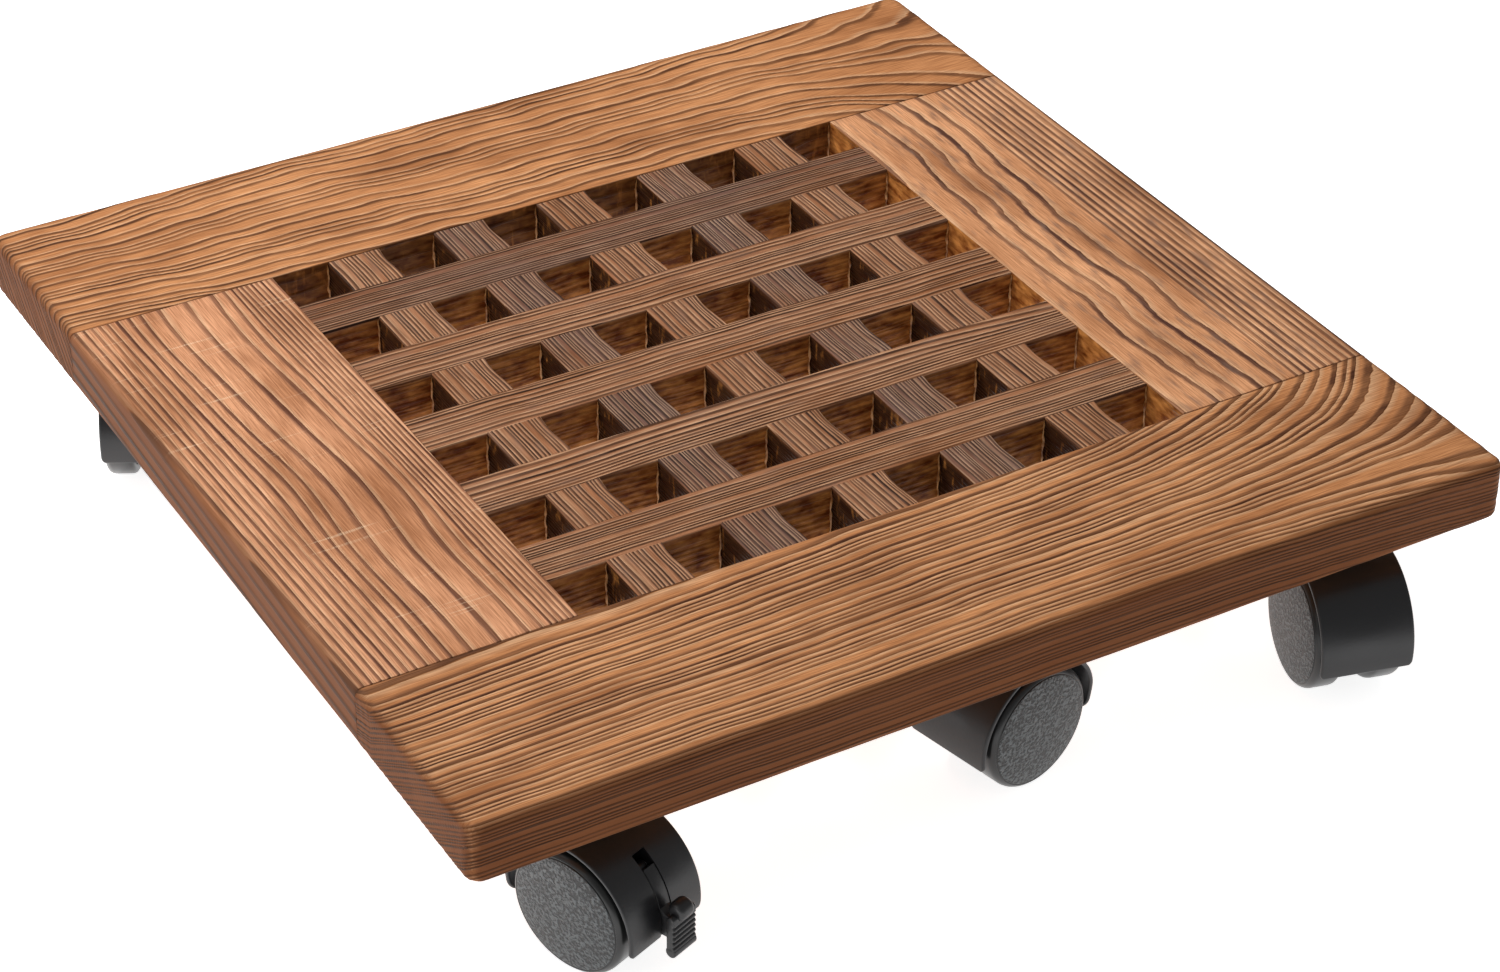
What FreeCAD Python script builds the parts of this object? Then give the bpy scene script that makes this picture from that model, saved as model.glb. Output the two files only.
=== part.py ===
import FreeCAD, Part

import os
import re

import Sketcher

# Plant pot caddy: a square board of burnt and brushed pine on six swivelling twin-wheel casters.
# Millimetres, +Z up.  The origin is on the floor under the middle of the board, the two long
# rails run along X, and the front edge faces -Y.

doc = FreeCAD.newDocument("plant_pot_caddy")
sheet = doc.addObject("Spreadsheet::Sheet", "Sizes")

SIZES = {
    # board frame
    "board_length": 350.0,        # along X
    "board_width": 350.0,         # along Y
    "board_thickness": 20.0,
    "long_rail_width": 70.0,
    "side_rail_width": 70.0,
    "corner_radius": 5.0,         # outer corners seen from above
    "arris_radius": 2.5,          # rounded top and bottom edges
    "dowel_diameter": 8.0,
    "dowel_length": 40.0,
    "dowel_spacing": 36.0,
    # lattice
    "slat_count": 5,              # slats each way
    "slat_width": 18.5,
    "slat_underside_gap": 1.7,     # slat undersides above the rail undersides
    "slat_drop": 0.3,             # slat tops below the rail tops
    "tenon_length": 5.0,
    "tenon_width": 12.0,
    "tenon_height": 7.0,
    # caster positions and the way each one trails, in degrees from +X
    "caster_end_inset": 41.5,
    "caster_side_inset": 34.0,
    "middle_caster_offset": 33.0,
    "trail_front_left": 291.0,
    "trail_front_middle": 192.8,
    "trail_front_right": 255.5,
    "trail_back_left": 241.5,
    "trail_back_middle": 12.8,
    "trail_back_right": 111.0,
    # caster
    "hood_headroom": 7.9,          # hood to the underside of the board
    "caster_trail": 18.0,         # swivel axis to wheel axle
    "plate_side": 38.0,
    "plate_thickness": 2.0,
    "plate_corner": 4.0,
    "screw_spacing": 28.0,
    "screw_diameter": 3.5,
    "screw_length": 16.0,         # under the head
    "screw_head_diameter": 7.0,
    "screw_head_height": 2.2,
    "screw_slot_width": 1.0,
    "screw_slot_depth": 1.2,
    "screw_hole_clearance": 0.4,  # hole in the plate, on the diameter
    "kingpin_diameter": 6.0,
    "kingpin_length": 24.0,
    "kingpin_tip_room": 0.6,
    "kingpin_clearance": 0.05,    # on the radius
    "washer_diameter": 14.0,
    "washer_thickness": 1.2,
    "washer_gap": 0.3,            # washer to the boss under it
    "wheel_diameter": 40.0,
    "web_clearance": 0.5,          # wheel to the hood's web
    "wheel_outer_face": 16.3,
    "wheel_dome": 2.0,            # height of the face above its rim
    "wheel_shoulder": 4.5,         # sloping ring round the flat middle of the face
    "wheel_rim_wall": 3.0,
    "wheel_web": 3.5,
    "wheel_hub_diameter": 12.0,
    "axle_diameter": 6.0,
    "axle_cover": 2.0,             # axle's end inside each wheel's face
    "axle_end_room": 0.4,
    "axle_clearance": 0.05,       # on the radius
    "tread_clearance": 2.6,        # tread to the inside of the hood
    "hood_wall": 1.5,
    "wheel_stand_out": 1.2,        # each wheel's face past the hood's rim
    "hood_web": 10.0,             # middle wall between the wheels
    "hood_rear_drop": 4.2,        # hood's lower edge under the axle, behind
    "hood_front_drop": 7.0,       # and in front
    "axle_boss_diameter": 11.0,
    "swivel_boss_diameter": 16.0,
    "tool_overrun": 1.0,          # how far a cutting shape runs past the face it cuts
    # brake
    "brake_slot_width": 5.0,
    "brake_slot_top": 56.0,       # degrees above the axle, behind
    "brake_slot_bottom": -20.0,
    "brake_slot_depth": 12.1,      # from the hood's surface
    "lever_clearance": 0.3,       # at each side of the slot
    "lever_arm_bottom": -8.0,     # degrees above the axle
    "lever_arm_depth": 6.1,        # from the hood's surface
    "lever_arm_inset": 0.2,       # arm's back under the hood's surface
    "lever_pivot_inset": 10.3,     # pivot inside the hood's radius, behind and above the axle
    "lever_eye_diameter": 6.0,
    "lever_eye_overlap": 0.6,     # how far the arm runs into the eye
    "lever_pin_diameter": 2.5,
    "lever_pin_clearance": 0.05,  # on the radius
    "lever_pin_inset": 0.1,        # pin's end inside each face of the web
    "shoe_window_top": 37.0,      # degrees, gap in the web that the shoe moves in
    "shoe_window_bottom": 18.0,
    "shoe_window_depth": 8.1,      # from the hood's surface
    "shoe_top": 35.0,             # degrees, brake shoe across both treads
    "shoe_bottom": 27.0,
    "shoe_thickness": 1.1,
    "shoe_end_inset": 5.3,         # shoe's end inside each wheel's face
    "pedal_width": 9.6,
    "pedal_standoff": 3.5,         # pedal behind the hood
    "pedal_thickness": 3.0,
    "pedal_top": 8.0,             # above the axle
    "pedal_bottom": -5.0,
    "pedal_neck_top": 4.0,
    "pedal_neck_bottom": -3.0,
    "pedal_roll_diameter": 3.6,
    "pedal_knob_diameter": 6.0,
}

# Sizes that fit one piece to another, worked out in the sheet from the ones above.
FITTED = {
    "slat_height": "board_thickness - slat_drop - slat_underside_gap",
    "wheel_inner_face": "hood_web / 2 + web_clearance",
    "wheel_face_diameter": "wheel_diameter - 2 * wheel_shoulder",
    "axle_length": "2 * (wheel_outer_face - axle_cover)",
    "hood_radius": "wheel_diameter / 2 + tread_clearance + hood_wall",
    "hood_width": "2 * (wheel_outer_face - wheel_stand_out)",
    "caster_height": "wheel_diameter / 2 + hood_radius + hood_headroom",
    "brake_slot_inner_radius": "hood_radius - brake_slot_depth",
    "lever_arm_inner_radius": "hood_radius - lever_arm_depth",
    "shoe_window_inner_radius": "hood_radius - shoe_window_depth",
    "lever_pivot_out": "hood_radius - lever_pivot_inset",   # behind the axle
    "lever_pivot_up": "hood_radius - lever_pivot_inset",    # above the axle
    # degrees: short of the pivot's 45 by the part of the eye that the arm doesn't reach
    "lever_arm_top":
        "45 - 57.3 * (lever_eye_diameter / 2 - lever_eye_overlap) / (1.4142 * lever_pivot_out)",
    "lever_pin_length": "hood_web - 2 * lever_pin_inset",
    "shoe_length": "2 * (wheel_outer_face - shoe_end_inset)",
    "pedal_inner_face": "hood_radius + pedal_standoff",     # behind the axle
}
CELLS = SIZES | {alias: "=" + formula for alias, formula in FITTED.items()}

for row, (alias, content) in enumerate(CELLS.items(), start=1):
    sheet.set(f"A{row}", alias)
    sheet.set(f"B{row}", str(content))
    sheet.setAlias(f"B{row}", alias)
doc.recompute()


def linked(formula):
    """The formula with each size's name pointing at its cell."""
    return re.sub(r"[a-z][a-z_]+", lambda word: "Sizes." + word.group() if word.group() in CELLS
                  else word.group(), formula)


def value(formula):
    """What the formula comes to now, as a number."""
    return float(sheet.evalExpression(linked(formula)))


def bind(thing, **formulas):
    """Tie properties to the sheet; a double underscore stands for a dot."""
    for prop, formula in formulas.items():
        thing.setExpression(prop.replace("__", "."), linked(formula))
    return thing


def place(thing, x="0", y="0", z="0"):
    return bind(thing, Placement__Base__x=x, Placement__Base__y=y, Placement__Base__z=z)


def box(name, low, size):
    """A box from its low corner and its three sides, all formulas."""
    thing = doc.addObject("Part::Box", name)
    bind(thing, Length=size[0], Width=size[1], Height=size[2])
    return place(thing, *low)


def upright(name, radius, height, x, y, z):
    """A cylinder standing on (x, y, z)."""
    thing = doc.addObject("Part::Cylinder", name)
    bind(thing, Radius=radius, Height=height)
    return place(thing, x, y, z)


def crosswise(name, radius, start, length, out="0", up="0"):
    """A cylinder along a caster's axle, from start, out behind and up above the axle."""
    thing = doc.addObject("Part::Cylinder", name)
    thing.Placement.Rotation = FreeCAD.Rotation(FreeCAD.Vector(1, 0, 0), -90)
    bind(thing, Radius=radius, Height=length)
    return place(thing, f"caster_trail + {out}", start, f"wheel_diameter / 2 + {up}")


def sector(name, radius, start, length, low, high):
    """A slice of such a cylinder between two angles above the axle, behind it."""
    thing = crosswise(name, radius, start, length)
    turn = FreeCAD.Rotation(FreeCAD.Vector(1, 0, 0), 90)
    thing.Placement.Rotation = turn
    bind(thing, Angle=f"{high} - ({low})", Placement__Base__y=f"{start} + {length}")
    thing.Placement.Rotation = FreeCAD.Rotation(FreeCAD.Vector(0, 1, 0), -value(low)).multiply(turn)
    return thing


def fused(name, pieces):
    thing = doc.addObject("Part::MultiFuse", name)
    thing.Shapes = pieces
    return thing


def cut(name, base, tool):
    thing = doc.addObject("Part::Cut", name)
    thing.Base = base
    thing.Tool = tool
    return thing


def group(name, pieces):
    thing = doc.addObject("Part::Compound", name)
    thing.Links = pieces
    return thing


def outline(body, name, plane_role, corners):
    """A closed sketch of straight lines whose corners are pairs of formulas."""
    sketch = body.newObject("Sketcher::SketchObject", name)
    plane = next(item for item in body.Origin.OriginFeatures if item.Role == plane_role)
    sketch.AttachmentSupport = [(plane, "")]
    sketch.MapMode = "FlatFace"
    points = [FreeCAD.Vector(value(across), value(along), 0) for across, along in corners]
    count = len(points)
    for index in range(count):
        sketch.addGeometry(Part.LineSegment(points[index], points[(index + 1) % count]))
    for index in range(count):
        sketch.addConstraint(Sketcher.Constraint("Coincident", index, 2, (index + 1) % count, 1))
    for index, corner in enumerate(corners):
        for kind, formula, now in zip(("DistanceX", "DistanceY"), corner, points[index]):
            number = sketch.addConstraint(Sketcher.Constraint(kind, -1, 1, index, 1, now))
            sketch.setExpression(f"Constraints[{number}]", linked(formula))
    return sketch


def rounded(body, name, radius, wanted):
    """Round the edges whose middle point passes the test."""
    doc.recompute()
    base = body.Tip
    edges = []
    for number, edge in enumerate(base.Shape.Edges, start=1):
        middle = edge.valueAt((edge.FirstParameter + edge.LastParameter) / 2)
        if wanted(middle):
            edges.append(f"Edge{number}")
    fillet = body.newObject("PartDesign::Fillet", name)
    fillet.Base = (base, edges)
    bind(fillet, Radius=radius)
    body.Tip = fillet
    doc.recompute()
    return fillet


OPENING_LENGTH = "(board_length - 2 * side_rail_width)"
OPENING_WIDTH = "(board_width - 2 * long_rail_width)"
LATTICE_TOP = "(caster_height + board_thickness - slat_drop)"
LATTICE_FOOT = f"({LATTICE_TOP} - slat_height)"
SLAT_COUNT = int(value("slat_count"))
TOLERANCE = 0.01


def slat_centre(opening, index):
    """Middle line of a slat: the gaps at both ends and between slats are equal."""
    return f"(({opening} + slat_width) / (slat_count + 1) * {index} - ({opening} + slat_width) / 2)"


# ---- pieces that the rails need sockets for -------------------------------------------------

def tenon(name, along_x, end, centre):
    """Stub tenon at one end of a slat; end is -1 or +1."""
    opening = OPENING_LENGTH if along_x else OPENING_WIDTH
    start = f"{opening} / 2" if end > 0 else f"-{opening} / 2 - tenon_length"
    foot = f"{LATTICE_FOOT} + (slat_height - tenon_height) / 2"
    side = f"{centre} - tenon_width / 2"
    if along_x:
        return box(name, (start, side, foot), ("tenon_length", "tenon_width", "tenon_height"))
    return box(name, (side, start, foot), ("tenon_width", "tenon_length", "tenon_height"))


def dowel(name, end_x, end_y, side):
    """Dowel across the joint of a side rail and a long rail."""
    thing = doc.addObject("Part::Cylinder", name)
    thing.Placement.Rotation = FreeCAD.Rotation(FreeCAD.Vector(1, 0, 0), -90)
    bind(thing, Radius="dowel_diameter / 2", Height="dowel_length")
    middle = f"{end_x} * (board_length - side_rail_width) / 2"
    return place(thing, f"{middle} + {side} * dowel_spacing / 2",
                 f"{end_y} * {OPENING_WIDTH} / 2 - dowel_length / 2",
                 "caster_height + board_thickness / 2")


ENDS = (-1, 1)
SLATS = range(1, SLAT_COUNT + 1)
SLAT_Y = {index: slat_centre(OPENING_WIDTH, index) for index in SLATS}    # slats along X
SLAT_X = {index: slat_centre(OPENING_LENGTH, index) for index in SLATS}   # slats along Y

long_tenons = {(index, end): tenon(f"long_tenon_{index}_{end + 1}", True, end, SLAT_Y[index])
               for index in SLATS for end in ENDS}
cross_tenons = {(index, end): tenon(f"cross_tenon_{index}_{end + 1}", False, end, SLAT_X[index])
                for index in SLATS for end in ENDS}
dowels = {(end_x, end_y, side): dowel(f"dowel_{end_x + 1}{end_y + 1}{side + 1}", end_x, end_y, side)
          for end_x in ENDS for end_y in ENDS for side in ENDS}

# Each caster's swivel axis, its trailing direction and the long rail it is screwed to (-1 front).
RIGHT_X = "(board_length / 2 - caster_end_inset)"
BACK_Y = "(board_width / 2 - caster_side_inset)"
CASTERS = {
    "front_left": (f"-{RIGHT_X}", f"-{BACK_Y}", "trail_front_left", -1),
    "front_middle": ("middle_caster_offset", f"-{BACK_Y}", "trail_front_middle", -1),
    "front_right": (RIGHT_X, f"-{BACK_Y}", "trail_front_right", -1),
    "back_left": (f"-{RIGHT_X}", BACK_Y, "trail_back_left", 1),
    "back_middle": ("-middle_caster_offset", BACK_Y, "trail_back_middle", 1),
    "back_right": (RIGHT_X, BACK_Y, "trail_back_right", 1),
}
BRAKED = ("front_left", "back_right")

# A pan-head screw, its head's seat at the origin and its point up.
screw_head = upright("screw_head", "screw_head_diameter / 2", "screw_head_height",
                     "0", "0", "-screw_head_height")
screw_shank = upright("screw_shank", "screw_diameter / 2", "screw_length", "0", "0", "0")
slot_foot = "-screw_head_height - tool_overrun"
slot_height = "screw_slot_depth + tool_overrun"
slot_reach = "screw_head_diameter * 0.6"
screw_slots = fused("screw_slots", [
    box("screw_slot_x", (f"-{slot_reach} / 2", "-screw_slot_width / 2", slot_foot),
        (slot_reach, "screw_slot_width", slot_height)),
    box("screw_slot_y", ("-screw_slot_width / 2", f"-{slot_reach} / 2", slot_foot),
        ("screw_slot_width", slot_reach, slot_height))])
screw = cut("screw", fused("screw_blank", [screw_head, screw_shank]), screw_slots)


def placed(name, pieces, caster, turned=True, shift=("0", "0"), height="0"):
    """Pieces modelled about a swivel axis at the origin, moved to their own caster's place."""
    x, y, heading, _ = CASTERS[caster]
    node = group(name, pieces)
    place(node, f"{x} + {shift[0]}", f"{y} + {shift[1]}", height)
    if turned:
        node.Placement.Rotation = FreeCAD.Rotation(FreeCAD.Vector(0, 0, 1), value(heading))
        bind(node, Placement__Rotation__Angle=heading)
    return node


screws = {(caster, x, y): placed(f"screw_{caster}_{x + 1}{y + 1}", [screw], caster, False,
                                 (f"{x} * screw_spacing / 2", f"{y} * screw_spacing / 2"),
                                 "caster_height - plate_thickness")
          for caster in CASTERS for x in ENDS for y in ENDS}

# ---- rails: planks with rounded outer corners and arrises -----------------------------------

HALF_LENGTH = value("board_length / 2")
HALF_WIDTH = value("board_width / 2")
CORNER = value("corner_radius")
THICKNESS = value("board_thickness")


def at_corner(point):
    return abs(point.x) > HALF_LENGTH - CORNER and abs(point.y) > HALF_WIDTH - CORNER


def on_corner_edge(point):
    return at_corner(point) and abs(point.z - THICKNESS / 2) < TOLERANCE


def on_outer_arris(point):
    level = min(abs(point.z), abs(point.z - THICKNESS)) < TOLERANCE
    outside = max(abs(point.x) - HALF_LENGTH, abs(point.y) - HALF_WIDTH) > -TOLERANCE
    return level and (outside or at_corner(point))


def rail(label, low, high, has_corners, sockets):
    """A plank between two corners given as formulas, with its sockets cut."""
    body = doc.addObject("PartDesign::Body", label + "_plank")
    sketch = outline(body, label + "_outline", "XY_Plane",
                     [(low[0], low[1]), (high[0], low[1]), (high[0], high[1]), (low[0], high[1])])
    pad = body.newObject("PartDesign::Pad", label + "_pad")
    pad.Profile = sketch
    bind(pad, Length="board_thickness")
    if has_corners:
        rounded(body, label + "_corners", "corner_radius", on_corner_edge)
    rounded(body, label + "_arrises", "arris_radius", on_outer_arris)
    bind(body, Placement__Base__z="caster_height")
    return cut(label, body, fused(label + "_sockets", sockets))


def long_rail(label, side):
    """Near or far rail; side is -1 or +1."""
    edges = [f"{side} * board_width / 2", f"{side} * {OPENING_WIDTH} / 2"]
    low_y, high_y = edges if side < 0 else reversed(edges)
    sockets = [cross_tenons[index, side] for index in SLATS]
    sockets += [dowels[end_x, side, spot] for end_x in ENDS for spot in ENDS]
    sockets += [screws[key] for key in screws if CASTERS[key[0]][3] == side]
    return rail(label, ("-board_length / 2", low_y), ("board_length / 2", high_y), True, sockets)


def side_rail(label, side):
    """Left or right rail, between the long rails."""
    edges = [f"{side} * board_length / 2", f"{side} * {OPENING_LENGTH} / 2"]
    low_x, high_x = edges if side < 0 else reversed(edges)
    sockets = [long_tenons[index, side] for index in SLATS]
    sockets += [dowels[side, end_y, spot] for end_y in ENDS for spot in ENDS]
    return rail(label, (low_x, f"-{OPENING_WIDTH} / 2"), (high_x, f"{OPENING_WIDTH} / 2"),
                False, sockets)


nodes = [long_rail("rail_near", -1), long_rail("rail_far", 1),
         side_rail("rail_left", -1), side_rail("rail_right", 1),
         group("frame_dowels", list(dowels.values()))]

# ---- lattice: two layers of slats, halved into each other where they cross ------------------

NOTCH_SPAN = "slat_width + 2 * tool_overrun"


def long_slat(index):
    """Slat along X, notched from below."""
    side = f"{SLAT_Y[index]} - slat_width / 2"
    bar = box(f"long_bar_{index}", (f"-{OPENING_LENGTH} / 2", side, LATTICE_FOOT),
              (OPENING_LENGTH, "slat_width", "slat_height"))
    notches = [box(f"long_notch_{index}_{other}",
                   (f"{SLAT_X[other]} - slat_width / 2", f"{side} - tool_overrun",
                    f"{LATTICE_FOOT} - tool_overrun"),
                   ("slat_width", NOTCH_SPAN, "slat_height / 2 + tool_overrun"))
               for other in SLATS]
    blank = fused(f"long_blank_{index}", [bar] + [long_tenons[index, end] for end in ENDS])
    return cut(f"long_slat_{index}", blank, fused(f"long_notches_{index}", notches))


def cross_slat(index):
    """Slat along Y, notched from above."""
    side = f"{SLAT_X[index]} - slat_width / 2"
    bar = box(f"cross_bar_{index}", (side, f"-{OPENING_WIDTH} / 2", LATTICE_FOOT),
              ("slat_width", OPENING_WIDTH, "slat_height"))
    notches = [box(f"cross_notch_{index}_{other}",
                   (f"{side} - tool_overrun", f"{SLAT_Y[other]} - slat_width / 2",
                    f"{LATTICE_FOOT} + slat_height / 2"),
                   (NOTCH_SPAN, "slat_width", "slat_height / 2 + tool_overrun"))
               for other in SLATS]
    blank = fused(f"cross_blank_{index}", [bar] + [cross_tenons[index, end] for end in ENDS])
    return cut(f"cross_slat_{index}", blank, fused(f"cross_notches_{index}", notches))


nodes += [long_slat(index) for index in SLATS]
nodes += [cross_slat(index) for index in SLATS]

# ---- plates, kingpins, washers and screws, all fixed to the board ---------------------------

plate_body = doc.addObject("PartDesign::Body", "plate_blank")
half_plate = "plate_side / 2"
plate_sketch = outline(plate_body, "plate_outline", "XY_Plane",
                       [(f"-{half_plate}", f"-{half_plate}"), (half_plate, f"-{half_plate}"),
                        (half_plate, half_plate), (f"-{half_plate}", half_plate)])
plate_pad = plate_body.newObject("PartDesign::Pad", "plate_pad")
plate_pad.Profile = plate_sketch
bind(plate_pad, Length="plate_thickness")
rounded(plate_body, "plate_corners", "plate_corner",
        lambda point: abs(point.z - value("plate_thickness / 2")) < TOLERANCE)

HOLE_HEIGHT = "plate_thickness + 2 * tool_overrun"
plate_holes = [upright(f"plate_hole_{x + 1}{y + 1}", "(screw_diameter + screw_hole_clearance) / 2",
                       HOLE_HEIGHT, f"{x} * screw_spacing / 2", f"{y} * screw_spacing / 2",
                       "-tool_overrun") for x in ENDS for y in ENDS]
plate_holes.append(upright("plate_kingpin_hole", "kingpin_diameter / 2", HOLE_HEIGHT,
                           "0", "0", "-tool_overrun"))
plate = cut("plate", plate_body, fused("plate_holes", plate_holes))

kingpin = upright("kingpin", "kingpin_diameter / 2", "kingpin_length", "0", "0", "-kingpin_length")
washer_ring = upright("washer_ring", "washer_diameter / 2", "washer_thickness", "0", "0",
                      "-washer_thickness")
washer_hole = upright("washer_hole", "kingpin_diameter / 2 + kingpin_clearance",
                      "washer_thickness + 2 * tool_overrun", "0", "0",
                      "-washer_thickness - tool_overrun")
washer = cut("washer", washer_ring, washer_hole)

nodes.append(group("caster_screws", list(screws.values())))
nodes.append(group("kingpins", [placed(f"kingpin_{caster}", [kingpin], caster, False,
                                       height="caster_height") for caster in CASTERS]))
nodes.append(group("swivel_washers", [placed(f"washer_{caster}", [washer], caster, False,
                                             height="caster_height - plate_thickness")
                                      for caster in CASTERS]))
nodes += [placed(f"{caster}_plate", [plate], caster, False,
                 height="caster_height - plate_thickness") for caster in CASTERS]

# ---- wheel: a domed disc with a hub, turned about its axle ----------------------------------

BORE = "axle_diameter / 2 + axle_clearance"
BORE_END = "axle_length / 2 + axle_end_room"
HUB = "wheel_hub_diameter / 2"
RIM_INSIDE = "wheel_diameter / 2 - wheel_rim_wall"
RECESS_END = "wheel_outer_face - wheel_web"
WHEEL_CORNERS = [
    ("0", BORE_END), (BORE, BORE_END), (BORE, "wheel_inner_face"), (HUB, "wheel_inner_face"),
    (HUB, RECESS_END), (RIM_INSIDE, RECESS_END), (RIM_INSIDE, "wheel_inner_face"),
    ("wheel_diameter / 2", "wheel_inner_face"),
    ("wheel_diameter / 2", "wheel_outer_face - wheel_dome"),
    ("wheel_face_diameter / 2", "wheel_outer_face"), ("0", "wheel_outer_face"),
]


def wheel(name, turn):
    """A wheel on one side of a caster's middle plane; turn is 0 or 180 degrees."""
    body = doc.addObject("PartDesign::Body", name)
    sketch = outline(body, name + "_section", "XY_Plane", WHEEL_CORNERS)
    turning = body.newObject("PartDesign::Revolution", name + "_turning")
    turning.Profile = sketch
    turning.ReferenceAxis = (sketch, ["V_Axis"])
    turning.Angle = 360.0
    body.Tip = turning
    body.Placement.Rotation = FreeCAD.Rotation(FreeCAD.Vector(0, 0, 1), turn)
    return place(body, "caster_trail", "0", "wheel_diameter / 2")


wheel_a = wheel("wheel_a", 0)
wheel_b = wheel("wheel_b", 180)
axle = crosswise("axle", "axle_diameter / 2", "-axle_length / 2", "axle_length")

# ---- hood: barrel over both wheels, web between them, and the swivel boss in front ----------

BOSS_TOP = "(caster_height - plate_thickness - washer_thickness - washer_gap)"
AXLE_HEIGHT = "(wheel_diameter / 2)"
CHAMBER_LENGTH = "(hood_width - hood_web) / 2 + tool_overrun"
CHAMBER_RADIUS = "(hood_radius - hood_wall)"
UNDERCUT_SPAN = "hood_width + 2 * tool_overrun"
FRONT_REACH = "(hood_radius + swivel_boss_diameter)"

barrel = crosswise("hood_barrel", "hood_radius", "-hood_width / 2", "hood_width")
swivel_boss = upright("swivel_boss", "swivel_boss_diameter / 2", f"{BOSS_TOP} - {AXLE_HEIGHT}",
                      "0", "0", AXLE_HEIGHT)
chambers = [crosswise("chamber_a", CHAMBER_RADIUS, "hood_web / 2", CHAMBER_LENGTH),
            crosswise("chamber_b", CHAMBER_RADIUS, "-hood_width / 2 - tool_overrun",
                      CHAMBER_LENGTH)]
rear_undercut = box("rear_undercut", ("caster_trail", f"-({UNDERCUT_SPAN}) / 2", "-hood_radius"),
                    ("hood_radius + tool_overrun", UNDERCUT_SPAN,
                     f"{AXLE_HEIGHT} - hood_rear_drop + hood_radius"))
front_undercut = box("front_undercut", (f"caster_trail - {FRONT_REACH}",
                                        f"-({UNDERCUT_SPAN}) / 2", "-hood_radius"),
                     (FRONT_REACH, UNDERCUT_SPAN,
                      f"{AXLE_HEIGHT} - hood_front_drop + hood_radius"))
hood_shell = cut("hood_shell", fused("hood_blank", [barrel, swivel_boss]),
                 fused("hood_hollows", chambers + [rear_undercut, front_undercut]))
axle_boss = crosswise("axle_boss", "axle_boss_diameter / 2", "-hood_web / 2", "hood_web")
kingpin_bore = upright("kingpin_bore", "kingpin_diameter / 2 + kingpin_clearance",
                       "kingpin_length + kingpin_tip_room", "0", "0",
                       "caster_height - kingpin_length - kingpin_tip_room")
axle_bore = crosswise("axle_bore", "axle_diameter / 2", "-hood_web / 2 - tool_overrun",
                      "hood_web + 2 * tool_overrun")
plain_hood = cut("plain_hood", fused("hood_with_boss", [hood_shell, axle_boss]),
                 fused("hood_bores", [kingpin_bore, axle_bore]))

# ---- brake: a lever in a slot of the hood, its pin, and the shoe across the treads ----------

SLOT_HALF = "brake_slot_width / 2"
LEVER_WIDTH = "(brake_slot_width - 2 * lever_clearance)"
slot = cut("brake_slot",
           sector("brake_slot_outer", "hood_radius + tool_overrun", f"-{SLOT_HALF}",
                  "brake_slot_width", "brake_slot_bottom", "brake_slot_top"),
           crosswise("brake_slot_core", "brake_slot_inner_radius",
                     f"-{SLOT_HALF} - tool_overrun", "brake_slot_width + 2 * tool_overrun"))
window = cut("shoe_window",
             sector("shoe_window_outer", CHAMBER_RADIUS, "-hood_web / 2 - tool_overrun",
                    "hood_web + 2 * tool_overrun", "shoe_window_bottom", "shoe_window_top"),
             crosswise("shoe_window_core", "shoe_window_inner_radius",
                       "-hood_web / 2 - 2 * tool_overrun", "hood_web + 4 * tool_overrun"))
pin_hole = crosswise("lever_pin_hole", "lever_pin_diameter / 2", "-hood_web / 2 - tool_overrun",
                     "hood_web + 2 * tool_overrun", "lever_pivot_out", "lever_pivot_up")
braked_hood = cut("braked_hood", plain_hood, fused("brake_cuts", [slot, window, pin_hole]))
lever_pin = crosswise("lever_pin", "lever_pin_diameter / 2", "-lever_pin_length / 2",
                      "lever_pin_length", "lever_pivot_out", "lever_pivot_up")

arm = cut("lever_arm",
          sector("lever_arm_outer", "hood_radius - lever_arm_inset", f"-{LEVER_WIDTH} / 2",
                 LEVER_WIDTH, "lever_arm_bottom", "lever_arm_top"),
          crosswise("lever_arm_core", "lever_arm_inner_radius",
                    f"-{LEVER_WIDTH} / 2 - tool_overrun", f"{LEVER_WIDTH} + 2 * tool_overrun"))
SHOE_OUTSIDE = f"({CHAMBER_RADIUS} - lever_clearance)"
shoe = cut("brake_shoe",
           sector("brake_shoe_outer", SHOE_OUTSIDE, "-shoe_length / 2", "shoe_length",
                  "shoe_bottom", "shoe_top"),
           crosswise("brake_shoe_core", f"{SHOE_OUTSIDE} - shoe_thickness",
                     "-shoe_length / 2 - tool_overrun", "shoe_length + 2 * tool_overrun"))
eye = crosswise("lever_eye", "lever_eye_diameter / 2", f"-{LEVER_WIDTH} / 2", LEVER_WIDTH,
                "lever_pivot_out", "lever_pivot_up")
neck = box("pedal_neck",
           ("caster_trail + hood_radius - hood_wall", f"-{LEVER_WIDTH} / 2",
            f"{AXLE_HEIGHT} + pedal_neck_bottom"),
           ("pedal_inner_face - hood_radius + hood_wall + pedal_thickness / 2", LEVER_WIDTH,
            "pedal_neck_top - pedal_neck_bottom"))
pedal = box("pedal", ("caster_trail + pedal_inner_face", "-pedal_width / 2",
                      f"{AXLE_HEIGHT} + pedal_bottom"),
            ("pedal_thickness", "pedal_width", "pedal_top - pedal_bottom"))
PEDAL_MIDDLE = "pedal_inner_face + pedal_thickness / 2"
roll = crosswise("pedal_roll", "pedal_roll_diameter / 2", "-pedal_width / 2", "pedal_width",
                 PEDAL_MIDDLE, "pedal_bottom")
knob = doc.addObject("Part::Sphere", "pedal_knob")
bind(knob, Radius="pedal_knob_diameter / 2")
place(knob, f"caster_trail + {PEDAL_MIDDLE}", "0", f"{AXLE_HEIGHT} + pedal_top")
pin_room = crosswise("lever_pin_room", "lever_pin_diameter / 2 + lever_pin_clearance",
                     "-brake_slot_width", "2 * brake_slot_width",
                     "lever_pivot_out", "lever_pivot_up")
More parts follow.
